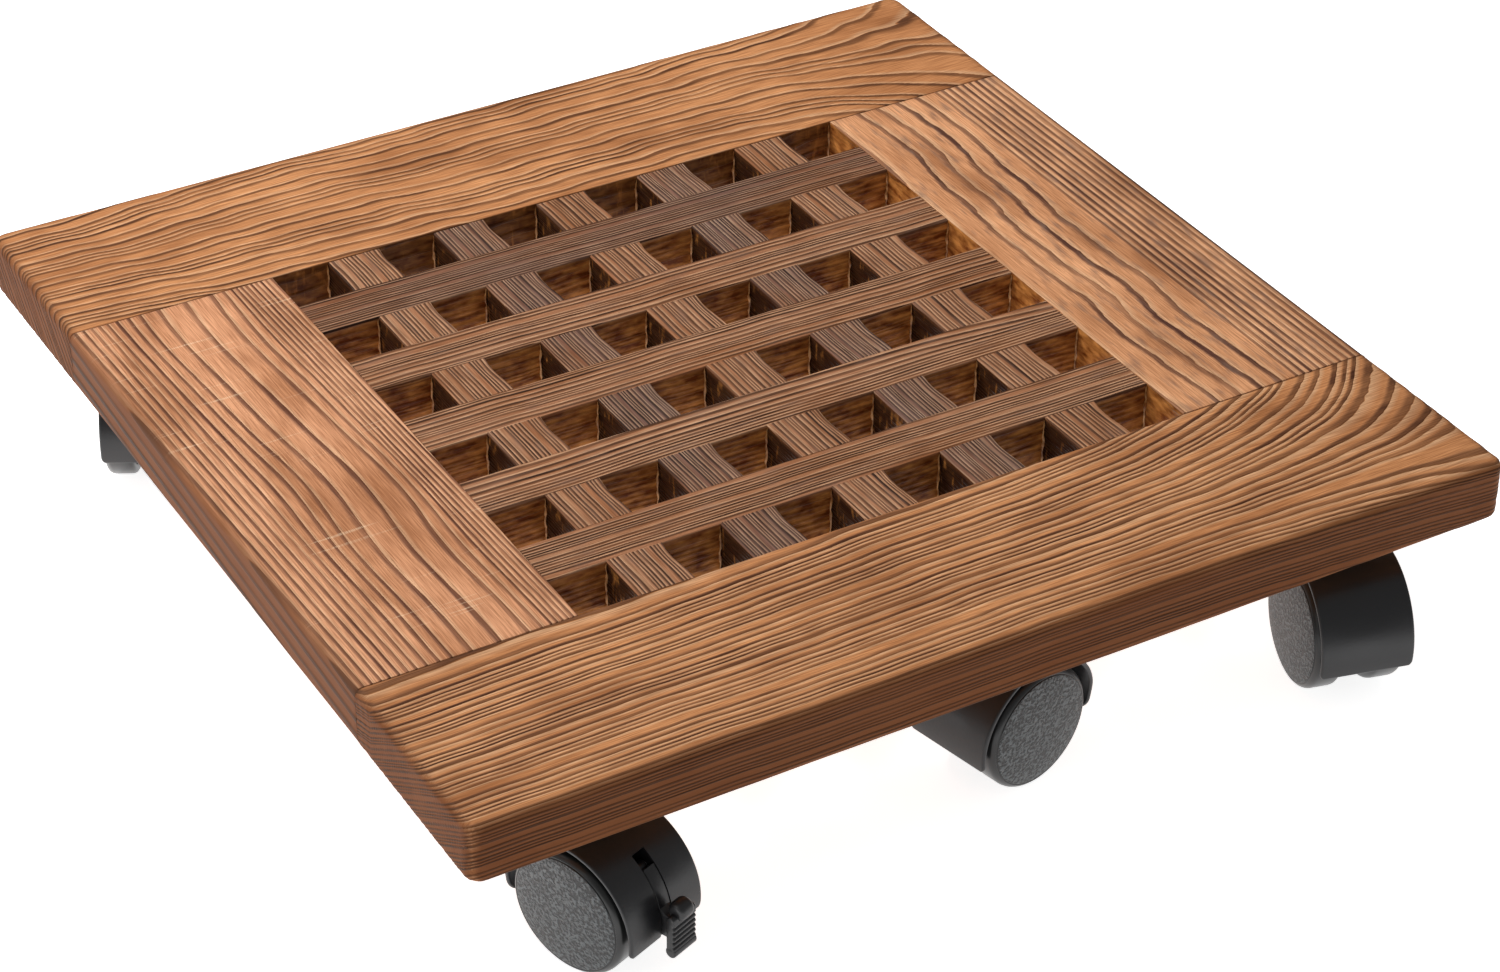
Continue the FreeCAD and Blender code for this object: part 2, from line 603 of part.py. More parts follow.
lever = cut("lever", fused("lever_blank", [arm, shoe, eye, neck, pedal, roll, knob]), pin_room)

for caster in CASTERS:
    hood = braked_hood if caster in BRAKED else plain_hood
    nodes.append(placed(f"{caster}_hood", [hood], caster))
    nodes.append(placed(f"{caster}_axle", [axle], caster))
    nodes.append(placed(f"{caster}_wheel_a", [wheel_a], caster))
    nodes.append(placed(f"{caster}_wheel_b", [wheel_b], caster))
    if caster in BRAKED:
        nodes.append(placed(f"{caster}_brake_lever", [lever], caster))
        nodes.append(placed(f"{caster}_brake_pin", [lever_pin], caster))

# ---- check everything, then write one file for each sub-part --------------------------------

doc.recompute()
failed = [item.Name for item in doc.Objects if {"Invalid", "Error"} & set(item.State)]
broken = [node.Label for node in nodes if node.Shape.isNull() or not node.Shape.isValid()]
if failed or broken:
    raise RuntimeError(f"failed objects {failed}, bad shapes {broken}")

os.makedirs("parts", exist_ok=True)
for node in nodes:
    node.Shape.exportStep(f"parts/{node.Label}.step")
    print(node.Label, "solids", len(node.Shape.Solids), "volume", round(node.Shape.Volume, 1))
print(len(nodes), "sub-parts")
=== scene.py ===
import math

import bmesh
import bpy
import numpy as np
from mathutils import Matrix, Vector


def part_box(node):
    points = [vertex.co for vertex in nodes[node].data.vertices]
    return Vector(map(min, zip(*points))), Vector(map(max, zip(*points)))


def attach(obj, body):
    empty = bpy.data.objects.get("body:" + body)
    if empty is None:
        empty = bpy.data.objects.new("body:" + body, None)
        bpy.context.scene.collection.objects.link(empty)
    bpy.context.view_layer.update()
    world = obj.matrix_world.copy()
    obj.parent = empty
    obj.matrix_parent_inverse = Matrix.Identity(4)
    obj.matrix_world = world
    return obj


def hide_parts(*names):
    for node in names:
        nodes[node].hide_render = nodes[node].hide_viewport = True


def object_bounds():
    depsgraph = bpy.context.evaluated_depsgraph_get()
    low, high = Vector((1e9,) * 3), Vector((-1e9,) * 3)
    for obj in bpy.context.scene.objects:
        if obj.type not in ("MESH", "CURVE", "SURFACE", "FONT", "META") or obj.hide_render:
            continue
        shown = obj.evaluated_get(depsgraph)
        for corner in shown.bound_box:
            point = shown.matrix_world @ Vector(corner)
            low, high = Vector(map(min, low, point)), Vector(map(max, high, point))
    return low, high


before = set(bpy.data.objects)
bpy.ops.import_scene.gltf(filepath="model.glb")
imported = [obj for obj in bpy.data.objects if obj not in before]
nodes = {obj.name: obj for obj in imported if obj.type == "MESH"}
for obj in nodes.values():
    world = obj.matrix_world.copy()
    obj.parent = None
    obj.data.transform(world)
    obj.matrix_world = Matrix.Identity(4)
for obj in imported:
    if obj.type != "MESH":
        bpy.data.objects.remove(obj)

cad_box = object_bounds()
MM = 0.001

# ==== board: four rails ======================================================================
# The frame is four planks of slow-grown pine, butted and dowelled at the corners.  Their faces
# were scorched with a flame and then wire-brushed, which wears the soft spring wood away and
# leaves the hard dark summer wood standing in fine ridges.  The outer arrises are rounded over.

ARRIS = 2.5             # outer arris radius, mm
PLAN_CORNER = 5.0       # outer corner radius seen from above, mm
EASED = 0.35            # inner edges, only broken by the brush, mm
ACROSS_STEP = 0.5       # grid lines across the grain, mm
ALONG_STEP = 1.6        # and along it, mm


def node_box_mm(node):
    """A CAD node's low and high corners in millimetres."""
    low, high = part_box(node)
    return np.array(low) / MM, np.array(high) / MM


def lines(low, high, step, low_edge, high_edge):
    """Grid coordinates between two faces: even steps, with closer ones within each edge."""
    near = np.array([0.0, 0.1, 0.25, 0.45, 0.7])
    span = high - high_edge - low - low_edge
    inner = np.linspace(low + low_edge, high - high_edge, max(2, round(span / step) + 1))
    return np.concatenate([low + low_edge * near, inner, high - high_edge * near[::-1]])


def box_grid(xs, ys, zs):
    """Closed box surface on three sets of grid lines: points of a lattice that lie on a face,
    each kept once, and outward quads over them."""
    counts = np.array([len(xs), len(ys), len(zs)])
    quads = []
    for axis in range(3):
        first, second = [(1, 2), (2, 0), (0, 1)][axis]
        i, j = np.meshgrid(np.arange(counts[first] - 1), np.arange(counts[second] - 1),
                           indexing="ij")
        for end in (0, 1):
            ring = [(0, 0), (1, 0), (1, 1), (0, 1)] if end else [(0, 0), (0, 1), (1, 1), (1, 0)]
            corners = []
            for step_i, step_j in ring:
                index = np.zeros((i.size, 3), int)
                index[:, axis] = (counts[axis] - 1) * end
                index[:, first] = (i + step_i).ravel()
                index[:, second] = (j + step_j).ravel()
                corners.append((index[:, 0] * counts[1] + index[:, 1]) * counts[2] + index[:, 2])
            quads.append(np.stack(corners, 1))
    quads = np.concatenate(quads)
    used, quads = np.unique(quads, return_inverse=True)
    quads = quads.reshape(-1, 4)
    points = np.stack([xs[used // (counts[1] * counts[2])],
                       ys[used // counts[2] % counts[1]], zs[used % counts[2]]], 1)
    return points, quads


def square_to_round(first, second, radius):
    """Moves a pair of depths under two faces onto a rounded edge: the square of side radius at
    the edge is squeezed into a quarter disc."""
    a, b = radius - first, radius - second
    inside = (a > 0) & (b > 0)
    squeeze = np.where(inside, np.maximum(a, b) / np.hypot(a, b).clip(1e-9), 1.0)
    return np.where(inside, radius - a * squeeze, first), \
        np.where(inside, radius - b * squeeze, second)


def round_over(points, low, high, outer, outline):
    """Rounds a plank's edges.  outer lists which of its sides (x low, x high, y low, y high) are
    the board's outside and outline is the board's half length and half width: an outer side is
    rounded by its depth inside the board's rounded outline, an inner one is only eased."""
    points = points.copy()
    near = np.sign(points[:, :2])
    depth_x, depth_y = (outline - abs(points[:, :2])).T
    if len(outer) > 1:
        depth_x, depth_y = square_to_round(depth_x, depth_y, PLAN_CORNER)
        points[:, :2] = near * (outline - np.stack([depth_x, depth_y], 1))
    to_arc = np.stack([PLAN_CORNER - depth_x, PLAN_CORNER - depth_y], 1).clip(0)
    reach = np.hypot(*to_arc.T)
    in_corner = (to_arc > 0).all(1)
    straight = np.where((depth_x < depth_y)[:, None], [1.0, 0.0], [0.0, 1.0])
    inward = -near * np.where(in_corner[:, None], to_arc / reach.clip(1e-9)[:, None], straight)
    depth = np.where(in_corner, PLAN_CORNER - reach, np.minimum(depth_x, depth_y))
    for level, up in ((low[2], 1), (high[2], -1)):
        under = up * (points[:, 2] - level)
        new_depth, new_under = square_to_round(depth, under, ARRIS)
        points[:, :2] += inward * (new_depth - depth)[:, None]
        points[:, 2] = level + up * new_under
        depth = new_depth
        for side in sorted({0, 1, 2, 3} - set(outer)):
            axis, sign = side // 2, 1 - 2 * (side % 2)
            face = (low, high)[side % 2][axis]
            from_side, from_level = square_to_round(sign * (points[:, axis] - face),
                                                    up * (points[:, 2] - level), EASED)
            points[:, axis] = face + sign * from_side
            points[:, 2] = level + up * from_level
    return points


def wander(position, longest, seed, sines=5):
    """Smooth irregular wave about 1 high: sines each 1.7 times shorter and 1.5 times lower than
    the one before, with seeded shifts."""
    order = np.arange(sines)
    shift = np.random.default_rng(seed).uniform(0, 2 * np.pi, sines)
    turns = position[:, None] * 1.7 ** order / longest
    return (np.sin(2 * np.pi * turns + shift) / 1.5 ** order).sum(1) / 1.6


def uneven(rings):
    """Good and bad years: the ring number runs a little fast and slow in turn."""
    return rings + 0.35 * np.sin(rings * 1.19 + 1) + 0.18 * np.sin(rings * 2.33 + 2)


def late_share(rings, grain, line):
    """Share of each year that is late wood.  A dark line is line mm wide times the ring's width
    to the power 0.43, so it hardly widens with the ring, whose width comes from the slope."""
    slope = np.hypot(rings(grain[:, 0], grain[:, 1] + 0.4, grain[:, 2]) - rings(*grain.T),
                     rings(grain[:, 0], grain[:, 1], grain[:, 2] + 0.4) - rings(*grain.T)) / 0.4
    return (line * slope.clip(0.05, 2) ** 0.57).clip(0.12, 0.55)


def late_wood(number, share):
    """Height of a brushed ring, 0 in early wood to 1 on late wood: a rise, then a step."""
    before_end = (1 - number % 1) / share
    return np.interp(before_end, [0, 0.15, 0.45, 0.9, 1.5], [0, 1, 1, 0.3, 0])


def new_piece(name, points, faces, body, stands_for, attributes, sharp=40):
    """A smooth-shaded mesh object from points in mm and faces.  attributes maps names to one
    number or vector a point; stands_for lists the CAD nodes that the piece is shown for."""
    mesh = bpy.data.meshes.new(name)
    mesh.from_pydata((points * MM).tolist(), [], faces)
    for label, values in attributes.items():
        vector = values.ndim > 1
        layer = mesh.attributes.new(label, "FLOAT_VECTOR" if vector else "FLOAT", "POINT")
        layer.data.foreach_set("vector" if vector else "value", values.astype(np.float32).ravel())
    mesh.shade_smooth()
    mesh.set_sharp_from_angle(angle=math.radians(sharp))
    piece = bpy.data.objects.new(name, mesh)
    bpy.context.scene.collection.objects.link(piece)
    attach(piece, body)
    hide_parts(*stands_for)
    return piece


RELIEF = 0.12           # brushed height of the late wood, mm
BOARD_TOP = 1000 * cad_box[1][2]


def pine_piece(node, points, quads, along, rings, char, wall, line=0.55):
    """A brushed pine plank: early wood is pressed in along the normal by up to the relief.  The
    material reads ring (ring number), share (of late wood), grain (mm along, across and below),
    char (scorching mixed with painted shade) and wall.
    char and wall."""
    grain = np.stack([points[:, along], points[:, 1 - along], BOARD_TOP - points[:, 2]], 1)
    number, share = rings(*grain.T), late_share(rings, grain, line)
    piece = new_piece(node + "_pine", points, quads.tolist(), "board", [node],
                      {"ring": number, "share": share, "char": char, "wall": wall, "grain": grain})
    normals = np.empty(points.size, np.float32)
    piece.data.vertices.foreach_get("normal", normals)
    pressed = points - normals.reshape(-1, 3) * RELIEF * (1 - late_wood(number, share))[:, None]
    piece.data.vertices.foreach_set("co", (pressed * MM).astype(np.float32).ravel())
    return piece


def linear(code):
    """sRGB hex to linear colour."""
    srgb = np.array([int(code[at:at + 2], 16) for at in (0, 2, 4)]) / 255
    return (*np.where(srgb <= 0.04045, srgb / 12.92, ((srgb + 0.055) / 1.055) ** 2.4), 1.0)


def add(material, kind, inputs=None, **settings):
    """Adds a shader node with its settings; inputs maps a socket's name or number to a value or
    to another node's output."""
    made = material.node_tree.nodes.new("ShaderNode" + kind)
    for label, setting in settings.items():
        setattr(made, label, setting)
    for socket, source in (inputs or {}).items():
        if isinstance(source, bpy.types.NodeSocket):
            material.node_tree.links.new(source, made.inputs[socket])
        else:
            made.inputs[socket].default_value = source
    return made.outputs


def new_material(name):
    """An empty Principled material and its shader's inputs."""
    material = bpy.data.materials.new(name)
    material.use_nodes = True
    return material, material.node_tree.nodes["Principled BSDF"].inputs


def connect(material, **sources):
    """Links outputs to the shader's inputs; an underscore in a name stands for a space."""
    inputs = material.node_tree.nodes["Principled BSDF"].inputs
    for label, source in sources.items():
        material.node_tree.links.new(source, inputs[label.replace("_", " ")])


def brushed_pine(name, pale, dark, saw_marks=0.0, smudges=0.0):
    """Flame-scorched, wire-brushed pine under a thin oil, matt.  Early wood stays pale, and just
    after each dark line it takes a painted highlight, a pale cream standing in for light caught on
    the brushed ridge; late wood goes dark, each year by its own amount, and stops sharply.  Finer
    than that are the fibres, 0.4 mm wide and 12 long, and 60 by 22 mm clouds of deeper
    scorching, added to the char input, which holds painted shade as well as scorching.  In the
    lattice holes the oil pooled, so there the wood is amber and shiny, and where char is high it
    goes almost black, which is painted shade.  saw_marks adds pale broken scratches across the
    grain, 1.3 mm wide and 40 long, and smudges adds grey tear-outs, 14 mm long and 3 wide."""
    material, shader = new_material(name)
    grain = add(material, "Attribute", attribute_name="grain")["Vector"]
    ring = add(material, "Attribute", attribute_name="ring")["Fac"]
    share = add(material, "Attribute", attribute_name="share")["Fac"]
    char = add(material, "Attribute", attribute_name="char")["Fac"]
    wall = add(material, "Attribute", attribute_name="wall")["Fac"]

    place = add(material, "Mapping", {0: grain, "Scale": (1 / 42, 1 / 2.5, 1 / 2.5)})[0]
    waver = add(material, "TexNoise", {0: place, "Scale": 1.0, "Detail": 2.0})["Fac"]
    waver = add(material, "MapRange", {0: waver, 1: 0.2, 2: 0.8, 3: -0.05, 4: 0.05})[0]
    number = add(material, "Math", {0: ring, 1: waver}, operation="ADD")[0]
    part = add(material, "Math", {0: number}, operation="FRACT")[0]
    year = add(material, "Math", {0: number}, operation="FLOOR")[0]

    left = add(material, "Math", {0: 1.0, 1: part}, operation="SUBTRACT")[0]
    left = add(material, "Math", {0: left, 1: share}, operation="DIVIDE")[0]
    rise = add(material, "MapRange", {0: left, 1: 1.3, 2: 0.6}, interpolation_type="SMOOTHSTEP")[0]
    stop = add(material, "MapRange", {0: left, 1: 0.0, 2: 0.16}, interpolation_type="SMOOTHSTEP")[0]
    depth = add(material, "TexWhiteNoise", {"W": year}, noise_dimensions="1D")["Value"]
    depth = add(material, "MapRange", {0: depth, 3: 0.68, 4: 1.0})[0]
    place = add(material, "Mapping", {0: grain, "Scale": (1 / 60, 1 / 7, 1 / 7)})[0]
    patch = add(material, "TexNoise", {0: place, "Scale": 1.0, "Detail": 2.0})["Fac"]
    patch = add(material, "MapRange", {0: patch, 1: 0.3, 2: 0.6, 3: 0.58, 4: 1.0})[0]
    late = add(material, "Math", {0: rise, 1: stop}, operation="MULTIPLY")[0]
    late = add(material, "Math", {0: late, 1: depth}, operation="MULTIPLY")[0]
    late = add(material, "Math", {0: late, 1: patch}, operation="MULTIPLY")[0]

    place = add(material, "Mapping", {0: grain, "Scale": (1 / 12, 1 / 0.38, 1 / 0.38)})[0]
    fibre = add(material, "TexNoise", {0: place, "Scale": 1.0, "Detail": 3.0})["Fac"]
    streak = add(material, "MapRange", {0: fibre, 1: 0.3, 2: 0.7})[0]
    place = add(material, "Mapping", {0: grain, "Scale": (1 / 60, 1 / 22, 1 / 22)})[0]
    cloud = add(material, "TexNoise", {0: place, "Scale": 1.0, "Detail": 3.0})["Fac"]
    haze = add(material, "MapRange", {0: cloud, 1: 0.35, 2: 0.68, 3: 0.0, 4: 0.62})[0]

    early = add(material, "Mix", {0: haze, 6: linear(pale), 7: linear("a8683a")},
                data_type="RGBA")[2]
    # Painted highlight: early wood just after each late line is mixed toward pale cream, standing in
    # for light caught on the brushed ridge.
    ridge_highlight = add(material, "Math", {0: part, 1: share}, operation="DIVIDE")[0]
    ridge_highlight = add(material, "MapRange", {0: ridge_highlight, 1: 0.9, 2: 0.1, 3: 0.0, 4: 0.42})[0]
    early = add(material, "Mix", {0: ridge_highlight, 6: early, 7: linear("f9d6ae")}, data_type="RGBA")[2]
    wood = add(material, "Mix", {0: late, 6: early, 7: linear(dark)}, data_type="RGBA")[2]
    shade = add(material, "Mix", {0: streak, 6: linear("b8aca2"), 7: linear("ffffff")},
                data_type="RGBA")[2]
    wood = add(material, "Mix", {0: 1.0, 6: wood, 7: shade}, data_type="RGBA",
               blend_type="MULTIPLY")[2]
    if saw_marks:
        place = add(material, "Mapping", {0: grain, "Scale": (1 / 1.3, 1 / 40, 1 / 40)})[0]
        mark = add(material, "TexNoise", {0: place, "Scale": 1.0, "Detail": 1.0})["Fac"]
        mark = add(material, "MapRange", {0: mark, 1: 0.66, 2: 0.74})[0]
        mark = add(material, "Math", {0: mark, 1: streak}, operation="MULTIPLY")[0]
        place = add(material, "Mapping", {0: grain, "Scale": (1 / 30, 1 / 60, 1 / 60)})[0]
        worn = add(material, "TexNoise", {0: place, "Scale": 1.0, "Detail": 1.0})["Fac"]
        worn = add(material, "MapRange", {0: worn, 1: 0.42, 2: 0.58, 3: 0.0, 4: saw_marks})[0]
        mark = add(material, "Math", {0: mark, 1: worn}, operation="MULTIPLY")[0]
        wood = add(material, "Mix", {0: mark, 6: wood, 7: linear("f2d3b0")},
                   data_type="RGBA")[2]

    if smudges:
        place = add(material, "Mapping", {0: grain, "Scale": (1 / 14, 1 / 3, 1 / 3)})[0]
        smudge = add(material, "TexNoise", {0: place, "Scale": 1.0, "Detail": 4.0})["Fac"]
        smudge = add(material, "MapRange", {0: smudge, 1: 0.54, 2: 0.7, 3: 0.0, 4: smudges})[0]
        wood = add(material, "Mix", {0: smudge, 6: wood, 7: linear("7d6152")},
                   data_type="RGBA")[2]

    # Scorch clouds plus the char input, which also holds painted shade on the rails' side faces and
    # joints, so this darkening is partly painted shade.
    burn_plus_shade = add(material, "MapRange", {0: cloud, 1: 0.52, 2: 0.74, 3: 0.0, 4: 0.28})[0]
    burn_plus_shade = add(material, "Math", {0: char, 1: burn_plus_shade}, operation="ADD", use_clamp=True)[0]
    soot_and_shade_colour = add(material, "Mix", {0: late, 6: linear("6c3f22"), 7: linear("352010")},
               data_type="RGBA")[2]
    wood = add(material, "Mix", {0: burn_plus_shade, 6: wood, 7: soot_and_shade_colour}, data_type="RGBA")[2]

    place = add(material, "Mapping", {0: grain, "Scale": (1 / 7, 1 / 2.5, 1 / 2.5)})[0]
    drip = add(material, "TexNoise", {0: place, "Scale": 1.0, "Detail": 3.0})["Fac"]
    drip = add(material, "MapRange", {0: drip, 1: 0.35, 2: 0.68})[0]
    oil_and_wall_shade = add(material, "Mix", {0: drip, 6: linear("6e3611"), 7: linear("cf8a48")},
                data_type="RGBA")[2]
    seam = add(material, "Math", {0: late, 1: 0.4}, operation="MULTIPLY")[0]
    oil_and_wall_shade = add(material, "Mix", {0: seam, 6: oil_and_wall_shade, 7: linear("3a1c0c")}, data_type="RGBA")[2]
    place = add(material, "Mapping", {0: grain, "Scale": (1 / 2, 1 / 6, 1 / 6)})[0]
    run = add(material, "TexNoise", {0: place, "Scale": 1.0, "Detail": 3.0})["Fac"]
    run = add(material, "MapRange", {0: run, 1: 0.58, 2: 0.72, 3: 0.0, 4: 0.6})[0]
    # Painted shade: on the hole walls a high char input mixes in near black with amber runs,
    # darkening the sides turned from the light.
    painted_wall_shade = add(material, "Mix", {0: run, 6: linear("22100a"), 7: linear("a86f38")},
                data_type="RGBA")[2]
    oil_and_wall_shade = add(material, "Mix", {0: char, 6: oil_and_wall_shade, 7: painted_wall_shade}, data_type="RGBA")[2]
    wood = add(material, "Mix", {0: wall, 6: wood, 7: oil_and_wall_shade}, data_type="RGBA")[2]

    rough = add(material, "MapRange", {0: late, 3: 0.7, 4: 0.55})[0]
    rough = add(material, "Mix", {0: wall, 2: rough, 3: 0.32}, data_type="FLOAT")[0]
    height = add(material, "Math", {0: fibre, 1: 0.4, 2: late}, operation="MULTIPLY_ADD")[0]
    bump = add(material, "Bump", {"Height": height, "Distance": 0.0003})[0]
    shader["Specular IOR Level"].default_value = 0.1
    connect(material, Base_Color=wood, Roughness=rough, Normal=bump)
    return material


# Half the lattice opening, mm; the same edge ends every rail.
HOLE_SIDE = round(-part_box("rail_near")[1][1] / MM, 3)
BOARD_HALF = np.array([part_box("rail_near")[1][0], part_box("rail_far")[1][1]]) / MM


def rail_scorch_and_shade(points):
    """Scorching: nearly full on the outside faces and arrises, fading out 16 mm in on the near
    rail and 6 mm in on the others, and a thin dark line along the joints.  On the side faces the
    darkness is partly scorching and partly painted shade, and the joint line is painted shade."""
    rim = (BOARD_HALF - abs(points[:, :2])).min(1)
    joint = abs(abs(points[:, 1]) - HOLE_SIDE)
    fade = np.where(points[:, 1] < -HOLE_SIDE, 16.0, 6.0)
    soft = 0.2 * ((fade - rim) / fade).clip(0)
    # Painted shade: a thin dark line along the butt joints between the rails.
    seam = np.interp(joint, [0, 0.5, 2], [0.6, 0.1, 0.0])
    # Outside faces nearly full: partly scorching, partly painted shade on the side faces.
    return np.maximum(np.interp(rim, [0, 0.4, 3.5], [0.97, 0.85, 0.0]), soft) + seam


def rail_wall(points):
    """1 on the faces inside the lattice opening, 0 elsewhere."""
    inside = abs(points[:, :2]).max(1) < HOLE_SIDE + 0.15
    return (inside & (BOARD_TOP - points[:, 2] > 0.5)).astype(float)


def near_rings(a, b, d):
    """Nearly straight 2.3 mm rings dipping at 57 degrees, a little off parallel near the lattice
    and swinging in toward it at the right end."""
    inward = -HOLE_SIDE - b
    swing = ((a - 40) / 135).clip(0) ** 2
    run = inward + 0.04 * (a + 175) * (1 - inward / 70) + swing * (28 - 0.55 * inward)
    open_grain = np.interp(run, [-4, 0, 9, 80], [-1.2, 0, 1.8, 32.7])
    return uneven(open_grain + (1.55 * d + 0.5 * wander(a + 0.4 * b, 170, 1)) / 2.3)


def far_rings(a, b, d):
    """Wavy 4 mm rings, closer at the left, that part round an eye at the right end."""
    inward = b - HOLE_SIDE
    swing = ((a - 60) / 115).clip(0) ** 1.5
    run = (inward - 44) * (1 - 0.72 * swing) + 1.6 * wander(a + 0.5 * b, 150, 5)
    return uneven((run + 0.9 * d) / np.interp(a, [-175, -60, 175], [3.1, 4.3, 4.3]))


def left_rings(a, b, d):
    """Flat-sawn: close rings at both edges and a broad middle with five wide wavering ones."""
    out = b + 175 + 0.03 * a
    middle = np.interp(out, [14, 28, 52, 62], [0, 1, 1, 0])
    out = out + middle * 1.7 * wander(a + 0.4 * b, 190, 3, 3) + 0.5 * d
    return np.interp(out, [-8, 0, 18, 30, 52, 58, 70, 84], [-5, 0, 6.5, 9.5, 12, 13.5, 20.5, 28])


def right_rings(a, b, d):
    """Straight 2.8 mm rings in the outer strip, then broad wandering ones toward the lattice."""
    out = b - HOLE_SIDE
    middle = np.interp(out, [2, 12, 34, 43], [0.4, 1, 1, 0])
    bend = 2.6 * wander(a, 170, 8, 4) + 0.3 * wander(a + 0.6 * b, 18, 9, 4)
    out = out + middle * bend + 0.4 * d
    return np.interp(out, [-6, 0, 10, 18, 27, 36, 43, 71, 90],
                     [-1, 0, 0.8, 1.8, 2.9, 4, 4.7, 14.7, 21.5])


golden = brushed_pine("Scorched brushed pine, golden", "dc9b67", "55301d")
russet = brushed_pine("Scorched brushed pine, russet", "e8a97f", "633726", saw_marks=0.6)
honey = brushed_pine("Scorched brushed pine, honey", "f2b282", "56332a", smudges=0.6)

for node, along, outer, rings, line, finish in (
        ("rail_near", 0, {0, 1, 2}, near_rings, 0.55, golden),
        ("rail_far", 0, {0, 1, 3}, far_rings, 0.6, golden),
        ("rail_left", 1, {0}, left_rings, 0.65, russet),
        ("rail_right", 1, {1}, right_rings, 0.9, honey)):
    low, high = node_box_mm(node)
    edge = [PLAN_CORNER if side in outer else 0.6 for side in range(4)]
    steps = (ALONG_STEP, ACROSS_STEP) if along == 0 else (ACROSS_STEP, ALONG_STEP)
    grid, quads = box_grid(lines(low[0], high[0], steps[0], edge[0], edge[1]),
                           lines(low[1], high[1], steps[1], edge[2], edge[3]),
                           lines(low[2], high[2], 1.0, ARRIS, ARRIS))
    points = round_over(grid, low, high, outer, BOARD_HALF)
    piece = pine_piece(node, points, quads, along, rings, rail_scorch_and_shade(points), rail_wall(points),
                       line)
    piece.data.materials.append(finish)

# ==== lattice: five slats each way ===========================================================
# Thin pine slats let into the rails and half-lapped over each other, planed on the quarter so
# their rings run straight.  They were scorched harder than the rails, and the brush has worn the
# cross slats' right arrises a little hollow between the long slats that stand over them.

SLAT_EASE = 0.5         # worn arris, mm
LAP_STEP = 0.35         # where a lap's shoulder hides inside the slat over it, mm
HOLLOW = 0.45           # deepest wear of a cross slat's right arris, mm
LONG_WALL_SHADE = 0.15   # painted shade on the long slats' sides, 0 to 1
CROSS_WALL_SHADE = 0.95  # and on the cross slats', near black
slate = brushed_pine("Scorched brushed pine, grey-brown", "80645a", "241614", smudges=0.4)
umber = brushed_pine("Scorched brushed pine, umber", "b88462", "321c14", smudges=0.4)

long_slats = [f"long_slat_{index}" for index in range(1, 6)]
cross_slats = [f"cross_slat_{index}" for index in range(1, 6)]


def notched(height, position, slats, axis, keeps_top):
    """Half-lap: where a slat of the other set crosses, heights (0 bottom to 1 top) are squeezed
    into the lower half, or into the upper half for the slat that keeps its top."""
    crossing = np.zeros(len(position), bool)
    for other in slats:
        low, high = node_box_mm(other)
        crossing |= (position > low[axis] + LAP_STEP) & (position < high[axis] - LAP_STEP)
    return np.where(crossing, 0.5 * height + 0.5 * keeps_top, height)


def lap_lines(low, high, slats, axis):
    """Grid lines along a slat: even ones, and one at each side of every lap's shoulder."""
    shoulders = [edge + inward for other in slats
                 for edge, inward in zip([side[axis] for side in node_box_mm(other)], (1, -1))
                 for inward in (0, LAP_STEP * inward - 0.02, LAP_STEP * inward + 0.02)]
    even = np.linspace(low, high, round((high - low) / 1.5) + 1)
    even = even[(abs(even[:, None] - np.array(shoulders)) > 0.45).all(1)]
    return np.unique(np.concatenate([even, shoulders, [low, high]]))


def slat_rings(spacing, dip, seed, crook):
    """Rings of one slat: straight, a given spacing apart and dipping by dip, with a little
    crook along the slat."""
    def rings(a, b, d):
        run = b + dip * d + crook * wander(a, 160, seed) + 0.012 * a
        return uneven(run / spacing)
    return rings


def arched_rings(a, b, d):
    """Flat-sawn slat: tight rings in its near half, an arch of broad ones in the far half."""
    low, high = node_box_mm("long_slat_2")
    across = b - low[1] + 0.5 * wander(a, 150, 31, 3)
    broad = np.interp(across, [-3, 0, 8, 12, 22], [-2, 0, 5.5, 7.0, 10.2])
    return broad + 0.5 * d + 2.6 * ((a - 20) / 95).clip(0) ** 2 * np.interp(across, [6, 12], [0, 1])


LONG_GRAIN = [
    (slat_rings(1.5, 0.6, 21, 0.3), umber, 0.12), (arched_rings, umber, 0.05),
    (slat_rings(1.8, 0.9, 23, 0.5), umber, 0.1), (slat_rings(1.9, 1.0, 24, 0.5), umber, 0.15),
    (slat_rings(1.5, 0.5, 25, 0.3), slate, 0.25)]
CROSS_GRAIN = [
    (slat_rings(1.6, 1.0, 41, 0.4), umber, 0.12), (slat_rings(1.4, 0.8, 42, 0.3), slate, 0.15),
    (slat_rings(1.6, 1.3, 43, 0.5), umber, 0.15), (slat_rings(1.3, 0.7, 44, 0.4), slate, 0.1),
    (slat_rings(1.7, 1.2, 45, 0.5), umber, 0.1)]

